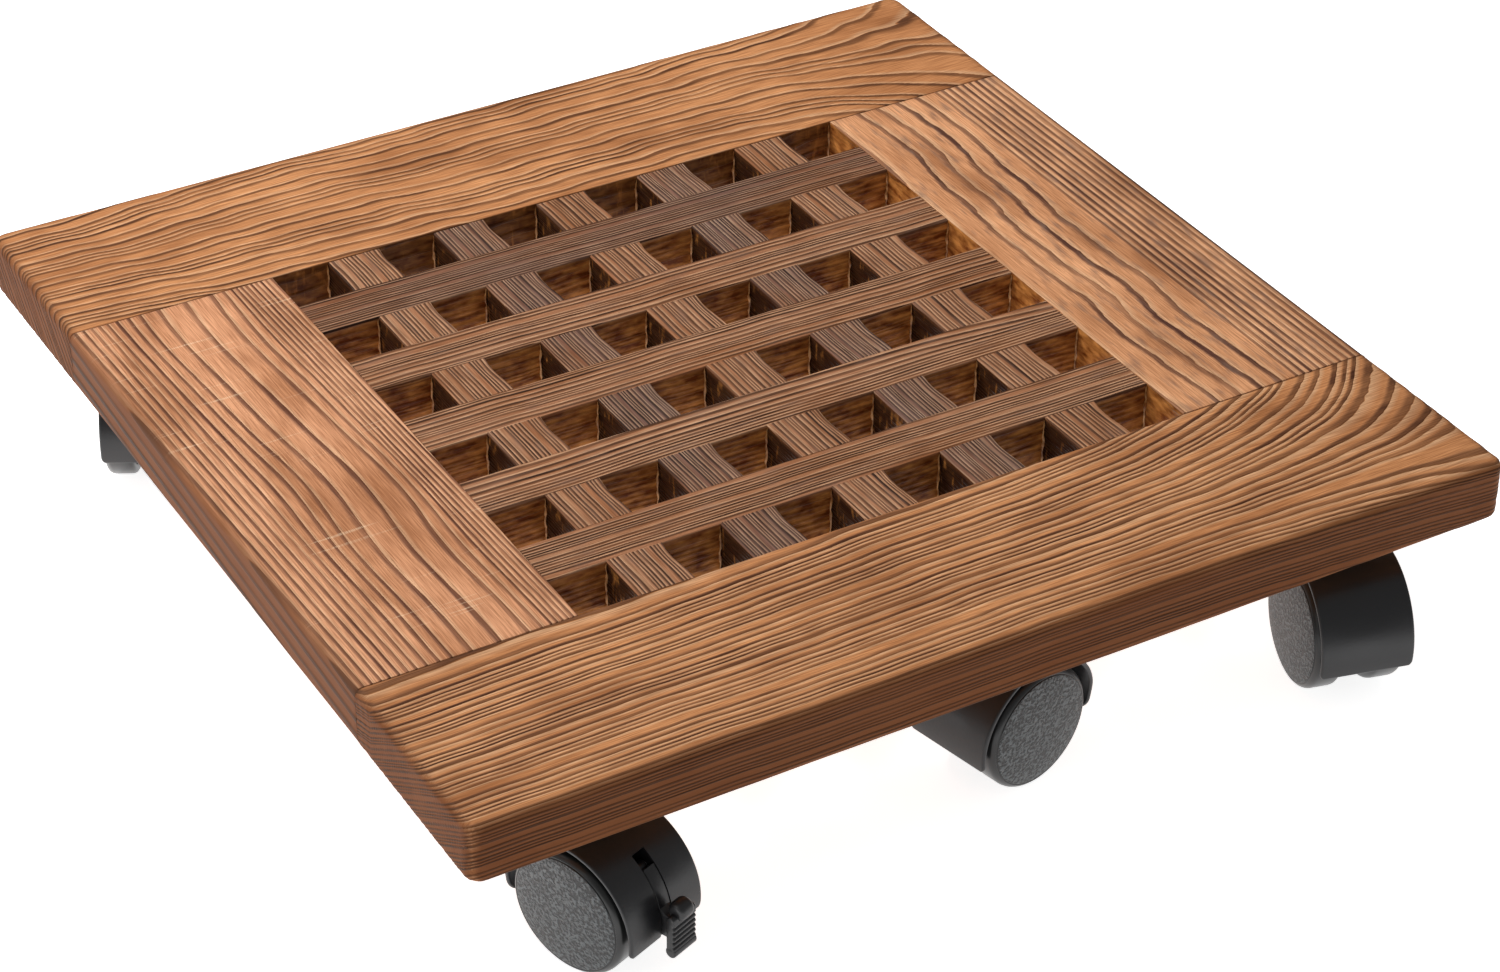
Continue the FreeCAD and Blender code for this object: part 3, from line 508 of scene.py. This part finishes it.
for along, slats, others, looks in ((0, long_slats, cross_slats, LONG_GRAIN),
                                    (1, cross_slats, long_slats, CROSS_GRAIN)):
    for node, (rings, finish, darker) in zip(slats, looks):
        low, high = node_box_mm(node)
        across = 1 - along
        tenon = (high[along] - low[along]) / 2 - HOLE_SIDE
        ends = [low[along] + tenon, high[along] - tenon]
        run_lines = lap_lines(*ends, others, along)
        side_lines = lines(low[across], high[across], 0.45, 0.8, 0.8)
        zs = lines(low[2], high[2], 1.2, 0.8, 0.8)
        grid, quads = box_grid(*((run_lines, side_lines, zs) if along == 0
                                 else (side_lines, run_lines, zs)))
        points = grid.copy()
        for face, sign in ((low[across], 1), (high[across], -1)):
            for level, up in ((low[2], 1), (high[2], -1)):
                first, second = square_to_round(sign * (points[:, across] - face),
                                                up * (points[:, 2] - level), SLAT_EASE)
                points[:, across] = face + sign * first
                points[:, 2] = level + up * second
        height = notched((points[:, 2] - low[2]) / (high[2] - low[2]), points[:, along], others,
                         along, 1 - along)
        wall = np.interp(high[2] - points[:, 2], [0.5, 1.0], [0.0, 1.0]) \
            * (abs(points[:, 2] - low[2]) > 0.4)
        edge_depth = np.minimum(points[:, across] - low[across], high[across] - points[:, across])
        wall = wall * (edge_depth < 0.3)
        # Slat sides take painted shade, near black on the cross slats; elsewhere each slat keeps its
        # own darker tone.
        char = np.where(wall > 0, LONG_WALL_SHADE if along == 0 else CROSS_WALL_SHADE, darker)
        if along == 1:
            spans = np.sort(np.concatenate([[side[1] for side in node_box_mm(other)]
                                            for other in others] + [[-HOLE_SIDE, HOLE_SIDE]]))
            gap = np.searchsorted(spans, points[:, 1]).clip(1, len(spans) - 1)
            part = (points[:, 1] - spans[gap - 1]) / (spans[gap] - spans[gap - 1])
            hollow = np.sin(np.pi * part.clip(0, 1) ** 1.6) ** 1.3 * (gap % 2 == 1)
            top = np.interp(high[2] - points[:, 2], [0, 5], [1, 0])
            right = np.interp(high[0] - points[:, 0], [0, 6], [1, 0])
            points[:, 0] -= HOLLOW * hollow * top * right
            height = height - 0.02 * hollow * right * (height > 0.95)
        points[:, 2] = low[2] + height * (high[2] - low[2])
        piece = pine_piece(node, points, quads, along, rings, char, wall)
        piece.data.materials.append(finish)

# Oil ran down the corners of the holes and dried there: a thin ragged amber bead stands in the
# far right corner of each one.

BEAD = 0.5              # thickest radius, mm
BEAD_INSET = 0.25       # its middle line to both faces of the corner, mm


def grid_faces(rows, columns, closed_rows, closed_columns):
    """Quads over a grid of points, wrapped round in either direction."""
    i, j = np.meshgrid(np.arange(rows - (not closed_rows)),
                       np.arange(columns - (not closed_columns)), indexing="ij")
    after_i, after_j = (i + 1) % rows, (j + 1) % columns
    return np.stack([i * columns + j, after_i * columns + j, after_i * columns + after_j,
                     i * columns + after_j], 2).reshape(-1, 4)


lefts = [node_box_mm(node)[0][0] for node in cross_slats] + [HOLE_SIDE]
nears = [node_box_mm(node)[0][1] for node in long_slats] + [HOLE_SIDE]
corner_x, corner_y = map(np.ravel, np.meshgrid(lefts, nears))
low, high = node_box_mm("long_slat_1")
share = np.linspace(0, 1, 24)
turn = np.linspace(0, 2 * np.pi, 8, endpoint=False)
points, faces = [], []
for number, (x, y) in enumerate(zip(corner_x, corner_y)):
    # The radius is the root of a half sine along the height, pinched by a seeded wander.
    radius = BEAD * np.sqrt(np.sin(np.pi * share)) * (0.75 + 0.35 * wander(share, 0.4, number, 4))
    sway = 0.2 * wander(share, 0.5, number + 50, 3)
    centre = np.stack([x - BEAD_INSET + sway, y - BEAD_INSET + 0 * share,
                       low[2] + 0.3 + share * (high[2] - low[2] - 0.9)], 1)
    ring = np.stack([np.cos(turn), np.sin(turn), 0 * turn], 1)
    points.append((centre[:, None] + radius[:, None, None] * ring).reshape(-1, 3))
    bead = grid_faces(len(share), len(turn), False, True)[:, ::-1]
    faces.append(bead + number * len(share) * len(turn))
amber, shader = new_material("Dried oil, amber")
shader["Roughness"].default_value = 0.28
spot = add(amber, "TexCoord")["Object"]
clot = add(amber, "TexNoise", {"Vector": spot, "Scale": 400.0, "Detail": 2.0})["Fac"]
clot = add(amber, "MapRange", {0: clot, 1: 0.35, 2: 0.65})[0]
connect(amber, Base_Color=add(amber, "Mix", {0: clot, 6: linear("8a5426"), 7: linear("d3a068")},
                              data_type="RGBA")[2])
beads = new_piece("oil_beads", np.concatenate(points), np.concatenate(faces).tolist(), "board",
                  [], {})
merged = bmesh.new()
merged.from_mesh(beads.data)
bmesh.ops.remove_doubles(merged, verts=merged.verts, dist=1e-6)
merged.to_mesh(beads.data)
merged.free()
beads.data.materials.append(amber)

# ==== hardware: dowels, plates, screws, kingpins, axles and brake pins =======================
# Beech dowels hold the rails.  The plates are stamped steel, the pins turned and the screws
# cold-headed, all bright zinc plated, which is a bluish white with faint cloudy spangle.

zinc, shader = new_material("Zinc-plated steel")
shader["Metallic"].default_value = 1.0
spangle = add(zinc, "TexNoise", {"Vector": add(zinc, "TexCoord")["Object"], "Scale": 260.0,
                                 "Detail": 3.0})["Fac"]
tint = add(zinc, "Mix", {0: spangle, 6: linear("b9bcc0"), 7: linear("e4e4e0")},
           data_type="RGBA")[2]
haze = add(zinc, "MapRange", {0: spangle, 3: 0.24, 4: 0.42})[0]
connect(zinc, Base_Color=tint, Roughness=haze)

beech, shader = new_material("Beech dowel")
shader["Roughness"].default_value = 0.6
pores = add(beech, "Mapping", {0: add(beech, "TexCoord")["Object"],
                               "Scale": (2200.0, 160.0, 2200.0)})[0]
fleck = add(beech, "TexNoise", {"Vector": pores, "Scale": 1.0, "Detail": 2.0})["Fac"]
connect(beech, Base_Color=add(beech, "Mix", {0: fleck, 6: linear("c79a6b"), 7: linear("e0bd92")},
                              data_type="RGBA")[2])

casters = sorted(name.removesuffix("_axle") for name in nodes if name.endswith("_axle"))
braked = [caster for caster in casters if caster + "_brake_pin" in nodes]
metal = ["caster_screws", "kingpins", "swivel_washers"]
metal += [caster + part for caster in casters for part in ("_plate", "_axle")]
metal += [caster + "_brake_pin" for caster in braked]
for node, finish in [(node, zinc) for node in metal] + [("frame_dowels", beech)]:
    nodes[node].data.materials.clear()
    nodes[node].data.materials.append(finish)

# ==== wheels: two to each caster =============================================================
# Injection-moulded black nylon.  The domed face is spark-eroded, a fine grey grain, inside a
# thin groove; the shoulder and the tread round it are polished by rolling.

TREAD = 20.0            # wheel radius, mm
FACE = 18.0             # radius of the grained face, mm
WHEEL_PROFILE = [       # radius and distance from the caster's middle, mm
    (0, 16.3), (4, 16.28), (8, 16.18), (12, 15.93), (15, 15.6), (17, 15.28), (17.9, 15.1),
    (18.05, 15.0), (18.15, 14.78), (18.35, 14.76), (18.5, 14.88), (19.0, 14.62), (19.5, 14.14),
    (19.85, 13.5), (TREAD, 12.8), (TREAD, 7.2), (19.85, 6.4), (19.5, 5.85), (18.9, 5.5),
    (17.4, 5.5), (17, 5.9), (17, 12.3), (16.7, 12.6), (6.4, 12.6), (6, 12.2), (6, 5.7),
    (5.8, 5.5), (3.1, 5.5), (3.1, 14.6), (0, 14.6)]


def caster_place(caster):
    """A caster's wheel centre in mm, and its directions as rows: behind (away from the swivel),
    along the axle, and up."""
    middle = np.mean(node_box_mm(caster + "_axle"), 0)
    behind = middle - np.mean(node_box_mm(caster + "_plate"), 0)
    behind[2] = 0
    behind /= np.linalg.norm(behind)
    return middle, np.array([behind, [-behind[1], behind[0], 0], [0, 0, 1]])


def turned(profile, behind=0.0, up=0.0, turns=96):
    """A lathe shape about a line along the axle: radius and distance from the profile, every
    point carried round a circle."""
    radius, along = np.array(profile, float).T
    angle = np.linspace(0, 2 * np.pi, turns, endpoint=False)[:, None]
    points = np.stack([behind + radius * np.cos(angle), along + 0 * angle,
                       up + radius * np.sin(angle)], 2)
    return points.reshape(-1, 3), grid_faces(turns, len(profile), True, True).tolist()


def moulded(name, shells, body, node, place, material, sharp=35):
    """One piece from closed shells given in a caster's own frame.  Each shell's doubled points
    are merged and its faces turned outwards before they are joined."""
    middle, axes = place
    whole = bmesh.new()
    for points, faces in shells:
        mesh = bpy.data.meshes.new("shell")
        mesh.from_pydata(((points @ axes + middle) * MM).tolist(), [], faces)
        shell = bmesh.new()
        shell.from_mesh(mesh)
        bmesh.ops.remove_doubles(shell, verts=shell.verts, dist=2e-6)
        bmesh.ops.recalc_face_normals(shell, faces=shell.faces)
        shell.to_mesh(mesh)
        shell.free()
        whole.from_mesh(mesh)
        bpy.data.meshes.remove(mesh)
    piece = new_piece(name, np.zeros((0, 3)), [], body, [node], {})
    whole.to_mesh(piece.data)
    whole.free()
    piece.data.shade_smooth()
    piece.data.set_sharp_from_angle(angle=math.radians(sharp))
    piece.data.materials.append(material)
    return piece


grained, shader = new_material("Black nylon, spark-eroded face")
spot = add(grained, "TexCoord")["Object"]
face = add(grained, "Attribute", attribute_name="face")["Fac"]
grit = add(grained, "TexNoise", {"Vector": spot, "Scale": 1000.0, "Detail": 4.0})["Fac"]
speck = add(grained, "MapRange", {0: grit, 1: 0.43, 2: 0.59})[0]
speck = add(grained, "Math", {0: speck, 1: face}, operation="MULTIPLY")[0]
tone = add(grained, "Mix", {0: speck, 6: linear("0b0c0d"), 7: linear("565b5d")},
           data_type="RGBA")[2]
matt = add(grained, "MapRange", {0: face, 3: 0.3, 4: 0.46})[0]
pits = add(grained, "Bump", {"Height": speck, "Distance": 0.0003})[0]
shader["Sheen Weight"].default_value = 0.14
connect(grained, Base_Color=tone, Roughness=matt, Normal=pits)

for caster in casters:
    place = caster_place(caster)
    for side in "ab":
        off_centre = np.mean(node_box_mm(f"{caster}_wheel_{side}"), 0) - place[0]
        sign = np.sign(off_centre @ place[1][1])
        points, faces = turned([(radius, sign * along) for radius, along in WHEEL_PROFILE])
        wheel = moulded(f"{caster}_wheel_{side}_nylon", [(points, faces)],
                        f"{caster}_roller_{side}", f"{caster}_wheel_{side}", place, grained)
        spots = np.empty(3 * len(wheel.data.vertices), np.float32)
        wheel.data.vertices.foreach_get("co", spots)
        local = (spots.reshape(-1, 3) / MM - place[0]) @ place[1].T
        on_face = (np.hypot(local[:, 0], local[:, 2]) < FACE) & (abs(local[:, 1]) > 15)
        layer = wheel.data.attributes.new("face", "FLOAT", "POINT")
        layer.data.foreach_set("value", on_face.astype(np.float32))

# ==== hoods: barrel, web and swivel boss =====================================================
# One satin black nylon moulding over each pair of wheels: a thin half-barrel with rounded rims
# and a narrower front lip, a solid web between the wheels, and the boss that takes the kingpin.
# On the braked casters the barrel and the web are slotted behind for the lever.

HOOD = 24.1             # outside radius of the barrel, mm
WALL = 1.5
HOOD_HALF = 15.1        # half its width
WEB_HALF = 5.0
HOOD_REAR = -10.0       # lower edge behind, degrees above the axle
HOOD_FRONT = 196.0      # and in front, going over the top
SLOT_TOP = 56.0         # end of the lever's slot, degrees
SLOT_HALF = 2.5         # half its width
SLOT_FLOOR = 12.0       # radius at which the web stops below the lever
WINDOW = (18, 37)       # notch in the web for the shoe, degrees
WINDOW_FLOOR = 16.0     # and the radius of its bottom
AXLE_BOSS = 5.5
SWIVEL = -18.0          # swivel axis, ahead of the axle
BOSS = 8.0              # radius of the swivel boss
BOSS_TOP = 28.5         # above the axle


def polar(radius, degrees):
    """Points behind and up at a radius and an angle above the axle."""
    angle = np.radians(degrees)
    return np.stack(np.broadcast_arrays(radius * np.cos(angle), radius * np.sin(angle)), -1)


def barrel(slotted):
    """The half-barrel: a grid of angle by width.  Its wall is a rounded section, thickness
    falling to nothing as a half circle at every rim; the rear corners are rounded and the front
    lip draws in.  Cells in the slot are left out and its sides walled."""
    rim = np.array([0, 0.06, 0.16, 0.3, 0.5, 0.75, 1.1, 1.6, 2.2, 3.0])
    degrees_per_mm = np.degrees(1 / HOOD)
    angles = np.concatenate([
        HOOD_REAR + rim * degrees_per_mm, np.linspace(-1, SLOT_TOP, 22),
        np.linspace(SLOT_TOP + 2.5, HOOD_FRONT - 9, 50), HOOD_FRONT - rim[::-1] * degrees_per_mm])
    side = np.concatenate([-HOOD_HALF + rim, [-10, -7, -4, -SLOT_HALF, -1.2]])
    widths = np.concatenate([side, [0], -side[::-1]])
    behind = (angles - HOOD_REAR) / degrees_per_mm
    ahead = (HOOD_FRONT - angles) / degrees_per_mm
    lip = np.interp(angles, [150, 165, 180, 196], [0, 0.5, 1.6, 2.3])
    half = HOOD_HALF - lip - (2 - np.sqrt(4 - (2 - behind).clip(0) ** 2)) \
        - 0.8 * (5 - np.sqrt(25 - (5 - ahead).clip(0) ** 2))
    stretch = (abs(widths) - 4).clip(0) / (HOOD_HALF - 4)
    across = np.sign(widths) * (np.minimum(abs(widths), 4) + stretch * (half[:, None] - 4))
    depth = np.minimum(half[:, None] - abs(across), np.minimum(behind, ahead)[:, None])
    wall = WALL / 2 * np.sqrt(1 - (1 - (depth / (WALL / 2)).clip(0, 1)) ** 2)
    shells = []
    for radius in (HOOD - WALL / 2 + wall, HOOD - WALL / 2 - wall):
        arc = polar(radius, angles[:, None])
        shells.append(np.stack([arc[..., 0], across, arc[..., 1]], -1).reshape(-1, 3))
    rows, columns = across.shape
    keep = np.ones((rows - 1, columns - 1), bool)
    if slotted:
        middle = abs((widths[1:] + widths[:-1]) / 2) < SLOT_HALF
        keep[np.ix_((angles[1:] + angles[:-1]) / 2 < SLOT_TOP, middle)] = False
    quads = grid_faces(rows, columns, False, False)[keep.ravel()]
    number = np.arange(rows * columns).reshape(rows, columns)
    sides = keep[:, 1:] != keep[:, :-1]
    tops = keep[1:] != keep[:-1]
    ends = np.concatenate([
        np.stack([number[:-1, 1:-1][sides], number[1:, 1:-1][sides]], 1),
        np.stack([number[1:-1, :-1][tops], number[1:-1, 1:][tops]], 1)])
    walls = np.concatenate([ends, ends[:, ::-1] + rows * columns], 1)
    faces = np.concatenate([quads, quads[:, ::-1] + rows * columns, walls])
    return np.concatenate(shells), faces.tolist()


def slab(outline, low, high, ease):
    """A plate: an outline of points behind and up, carried along the axle from low to high and
    drawn in along its normals at both ends by a rounding of radius ease."""
    ahead, back = np.roll(outline, -1, 0), np.roll(outline, 1, 0)
    along = (ahead - outline) / np.linalg.norm(ahead - outline, axis=1).clip(1e-9)[:, None] \
        + (outline - back) / np.linalg.norm(outline - back, axis=1).clip(1e-9)[:, None]
    area = np.sum(outline[:, 0] * ahead[:, 1] - ahead[:, 0] * outline[:, 1])
    inward = np.sign(area) * np.stack([-along[:, 1], along[:, 0]], 1)
    inward /= np.linalg.norm(inward, axis=1).clip(1e-9)[:, None]
    turn = np.radians([90, 60, 30, 0])
    drawn = ease * np.concatenate([1 - np.cos(turn), (1 - np.cos(turn))[::-1]])
    level = np.concatenate([low + ease * (1 - np.sin(turn)), high - ease * (1 - np.sin(turn[::-1]))])
    rings = outline + inward * drawn[:, None, None]
    points = np.stack([rings[..., 0], np.broadcast_to(level[:, None], rings.shape[:2]),
                       rings[..., 1]], -1).reshape(-1, 3)
    count = len(outline)
    faces = grid_faces(len(level), count, False, True).tolist()
    faces += [list(range(count)), list(range(len(points) - count, len(points)))]
    return points, faces


def web_outline(gap_top, gap_radius, window):
    """The web's edge: the inside of the barrel over the top, down to the axle boss, and back.
    Below gap_top degrees it stops at gap_radius; window cuts a notch for the shoe."""
    degrees = np.linspace(HOOD_REAR, HOOD_FRONT - 2, 104)
    radius = np.full(len(degrees), HOOD - WALL / 2)
    if window:
        radius[(degrees > WINDOW[0]) & (degrees < WINDOW[1])] = WINDOW_FLOOR
    if gap_top is not None:
        radius[degrees < gap_top] = gap_radius
    boss = polar(AXLE_BOSS, np.linspace(212, 332, 25))
    return np.concatenate([polar(radius, degrees), boss])


def swivel_boss():
    """A short post round the kingpin: its top is eased, it is bored for the pin, and its foot
    follows the barrel's middle surface, or stops level with the axle ahead of it."""
    angle = np.linspace(0, 2 * np.pi, 72, endpoint=False)[:, None]
    reach = np.array([0, 3.1, 3.1, 7.5, 7.85, BOSS, BOSS, BOSS, 4.0, 0])
    top = np.array([BOSS_TOP - 3, BOSS_TOP - 3, BOSS_TOP, BOSS_TOP, BOSS_TOP - 0.15,
                    BOSS_TOP - 0.5, BOSS_TOP - 1, np.nan, np.nan, np.nan])
    behind = SWIVEL + reach * np.cos(angle)
    foot = np.sqrt(((HOOD - WALL / 2) ** 2 - behind ** 2).clip(0))
    up = np.where(np.isnan(top), foot, top + 0 * angle)
    points = np.stack([behind, reach * np.sin(angle), up], 2).reshape(-1, 3)
    faces = grid_faces(len(angle), len(reach), True, False).tolist()
    return points, faces


satin, shader = new_material("Black nylon, satin moulded")
shader["Base Color"].default_value = linear("19191b")
spot = add(satin, "TexCoord")["Object"]
skin = add(satin, "TexNoise", {"Vector": spot, "Scale": 900.0, "Detail": 2.0})["Fac"]
rub = add(satin, "TexNoise", {"Vector": spot, "Scale": 70.0, "Detail": 3.0})["Fac"]
gloss = add(satin, "MapRange", {0: rub, 1: 0.3, 2: 0.7, 3: 0.3, 4: 0.42})[0]
peel = add(satin, "Bump", {"Height": skin, "Distance": 0.00003})[0]
connect(satin, Roughness=gloss, Normal=peel)

for caster in casters:
    place = caster_place(caster)
    if caster in braked:
        cheek = web_outline(None, 0, True)
        shells = [barrel(True), swivel_boss(),
                  slab(web_outline(SLOT_TOP, SLOT_FLOOR, False), -SLOT_HALF - 0.05,
                       SLOT_HALF + 0.05, 0.0),
                  slab(cheek, -WEB_HALF, -SLOT_HALF, 0.1), slab(cheek, SLOT_HALF, WEB_HALF, 0.1)]
    else:
        shells = [barrel(False), swivel_boss(),
                  slab(web_outline(None, 0, False), -WEB_HALF, WEB_HALF, 0.3)]
    moulded(caster + "_hood_nylon", shells, caster + "_caster", caster + "_hood", place, satin)

# ==== brake levers ===========================================================================
# A black nylon lever in the hood's slot: an arm flush with the barrel, the shoe it carries over
# both treads, and outside the hood a ribbed foot pedal that ends below in a rolled edge and
# above in a thumb knob that lifts it off again.

ARM_IN = 18.0           # the arm's radii about the axle, mm
ARM_OUT = 23.9
ARM_ANGLES = (-8.0, 43.5)
SHOE_IN = 21.2          # and the shoe's
SHOE_OUT = 22.3
SHOE_ANGLES = (27.0, 35.0)
SHOE_HALF = 11.0
PIVOT = 13.8            # brake pin, behind the axle and above it
EYE = 2.0               # radius of the lever's eye on the pin
PEDAL_HALF = 4.8
PEDAL_IN = 27.6         # pedal's inner face, behind the axle
PEDAL_OUT = 30.6
RIB_PITCH = 1.75
RIB_HEIGHT = 0.75
KNOB_BEHIND = 29.1      # middle of the thumb knob and of the rolled edge, behind the axle
KNOB = 3.0              # radius of the knob
ROLL = 1.8              # and of the rolled edge


def arc_slab(inner, outer, low_angle, high_angle, low, high, ease):
    """A slab whose outline is a piece of a ring about the axle."""
    degrees = np.linspace(low_angle, high_angle, 28)
    outline = np.concatenate([polar(outer, degrees), polar(inner, degrees[::-1])])
    return slab(outline, low, high, ease)


def pedal_outline():
    """Flat inner face, a rounded crown, and an outer face with rounded ribs across it."""
    foot = -4.6
    up = np.linspace(foot, 5.2, 60)
    ribs = RIB_HEIGHT * abs(np.sin(np.pi * (up - foot) / RIB_PITCH)) ** 0.7
    outer = np.stack([PEDAL_OUT - RIB_HEIGHT + ribs, up], 1)
    crown = np.array([PEDAL_IN + 1.5, 6.2]) + 1.4 * np.stack(
        [np.cos(np.linspace(0.3, np.pi, 12)), np.sin(np.linspace(0.3, np.pi, 12))], 1)
    inner = np.stack([np.full(8, PEDAL_IN), np.linspace(5.8, -4.8, 8)], 1)
    return np.concatenate([outer, crown, inner])


def round_bar(radius, half_width, ease):
    """Profile of a bar with rounded ends."""
    turn = np.linspace(0, np.pi / 2, 7)
    end = np.stack([radius - ease + ease * np.cos(turn), half_width - ease + ease * np.sin(turn)], 1)
    profile = np.concatenate([end[::-1], end * [1, -1]])
    return [(0.0, half_width), *map(tuple, profile), (0.0, -half_width)]


for caster in braked:
    neck = np.array([[22.8, -3], [28.6, -3], [28.6, 4], [25.5, 4.6], [22.8, 6]])
    neck = np.concatenate([start + (end - start) * np.linspace(0, 1, 8, endpoint=False)[:, None]
                           for start, end in zip(neck, np.roll(neck, -1, 0))])
    shells = [
        arc_slab(ARM_IN, ARM_OUT, *ARM_ANGLES, -2.1, 2.47, 0.3),
        arc_slab(SHOE_IN, SHOE_OUT, *SHOE_ANGLES, -SHOE_HALF, SHOE_HALF, 0.3),
        turned(round_bar(EYE, 2.0, 0.3), PIVOT, PIVOT, 48), slab(neck, -2.2, 2.2, 0.4),
        slab(pedal_outline(), -PEDAL_HALF, PEDAL_HALF, 0.45),
        turned(round_bar(ROLL, PEDAL_HALF, 0.5), KNOB_BEHIND, -5.0, 48),
        turned(round_bar(KNOB, 2.9, 1.6), KNOB_BEHIND, 8.0, 48)]
    moulded(caster + "_brake_lever_nylon", shells, caster + "_brake", caster + "_brake_lever",
            caster_place(caster), satin)

# ==== floor, light and camera ================================================================
# A white floor, an even white world and two large soft lamps, one overhead from behind on the
# left and a weaker fill from the left, as for a catalogue picture.

floor_mesh = bpy.data.meshes.new("floor")
floor_mesh.from_pydata([(-6, -6, 0), (6, -6, 0), (6, 6, 0), (-6, 6, 0)], [], [(0, 1, 2, 3)])
floor = bpy.data.objects.new("floor", floor_mesh)
bpy.context.scene.collection.objects.link(floor)
paper, shader = new_material("White paper backdrop")
shader["Base Color"].default_value = linear("f7f7f7")
shader["Roughness"].default_value = 0.6
shader["Emission Color"].default_value = (1, 1, 1, 1)
shader["Emission Strength"].default_value = 0.85
floor_mesh.materials.append(paper)

world = bpy.data.worlds.new("Studio")
bpy.context.scene.world = world
world.use_nodes = True
world.node_tree.nodes["Background"].inputs["Color"].default_value = (1, 1, 1, 1)
world.node_tree.nodes["Background"].inputs["Strength"].default_value = 0.3


def lamp(name, place, size, power):
    """A square soft lamp of the given side in metres, aimed at the board."""
    light = bpy.data.lights.new(name, "AREA")
    light.size = size
    light.energy = power
    thing = bpy.data.objects.new(name, light)
    bpy.context.scene.collection.objects.link(thing)
    thing.location = place
    aim = np.array([0, 0, 0.05]) - place
    thing.rotation_euler = (math.atan2(math.hypot(aim[0], aim[1]), -aim[2]), 0,
                            math.atan2(-aim[0], aim[1]))


lamp("overhead", (-0.5, 0.7, 1.25), 0.6, 22.0)
lamp("left_fill", (-1.5, -0.2, 0.9), 0.8, 3.0)

camera = bpy.data.cameras.new("camera")
camera.lens = 90.7
camera.sensor_width = 36.0
viewer = bpy.data.objects.new("camera", camera)
bpy.context.scene.collection.objects.link(viewer)
viewer.location = (-0.4994, -0.8705, 0.7115)
viewer.rotation_mode = "QUATERNION"
down = math.radians(34.66)
turn = math.radians(59.53)
roll = math.radians(0.554)
ahead = np.array([math.cos(down) * math.cos(turn), math.cos(down) * math.sin(turn),
                  -math.sin(down)])
bpy.context.scene.camera = viewer
facing = Vector(ahead).to_track_quat("-Z", "Y")
viewer.rotation_quaternion = facing @ Matrix.Rotation(roll, 3, "Z").to_quaternion()
bpy.context.scene.view_settings.view_transform = "Standard"
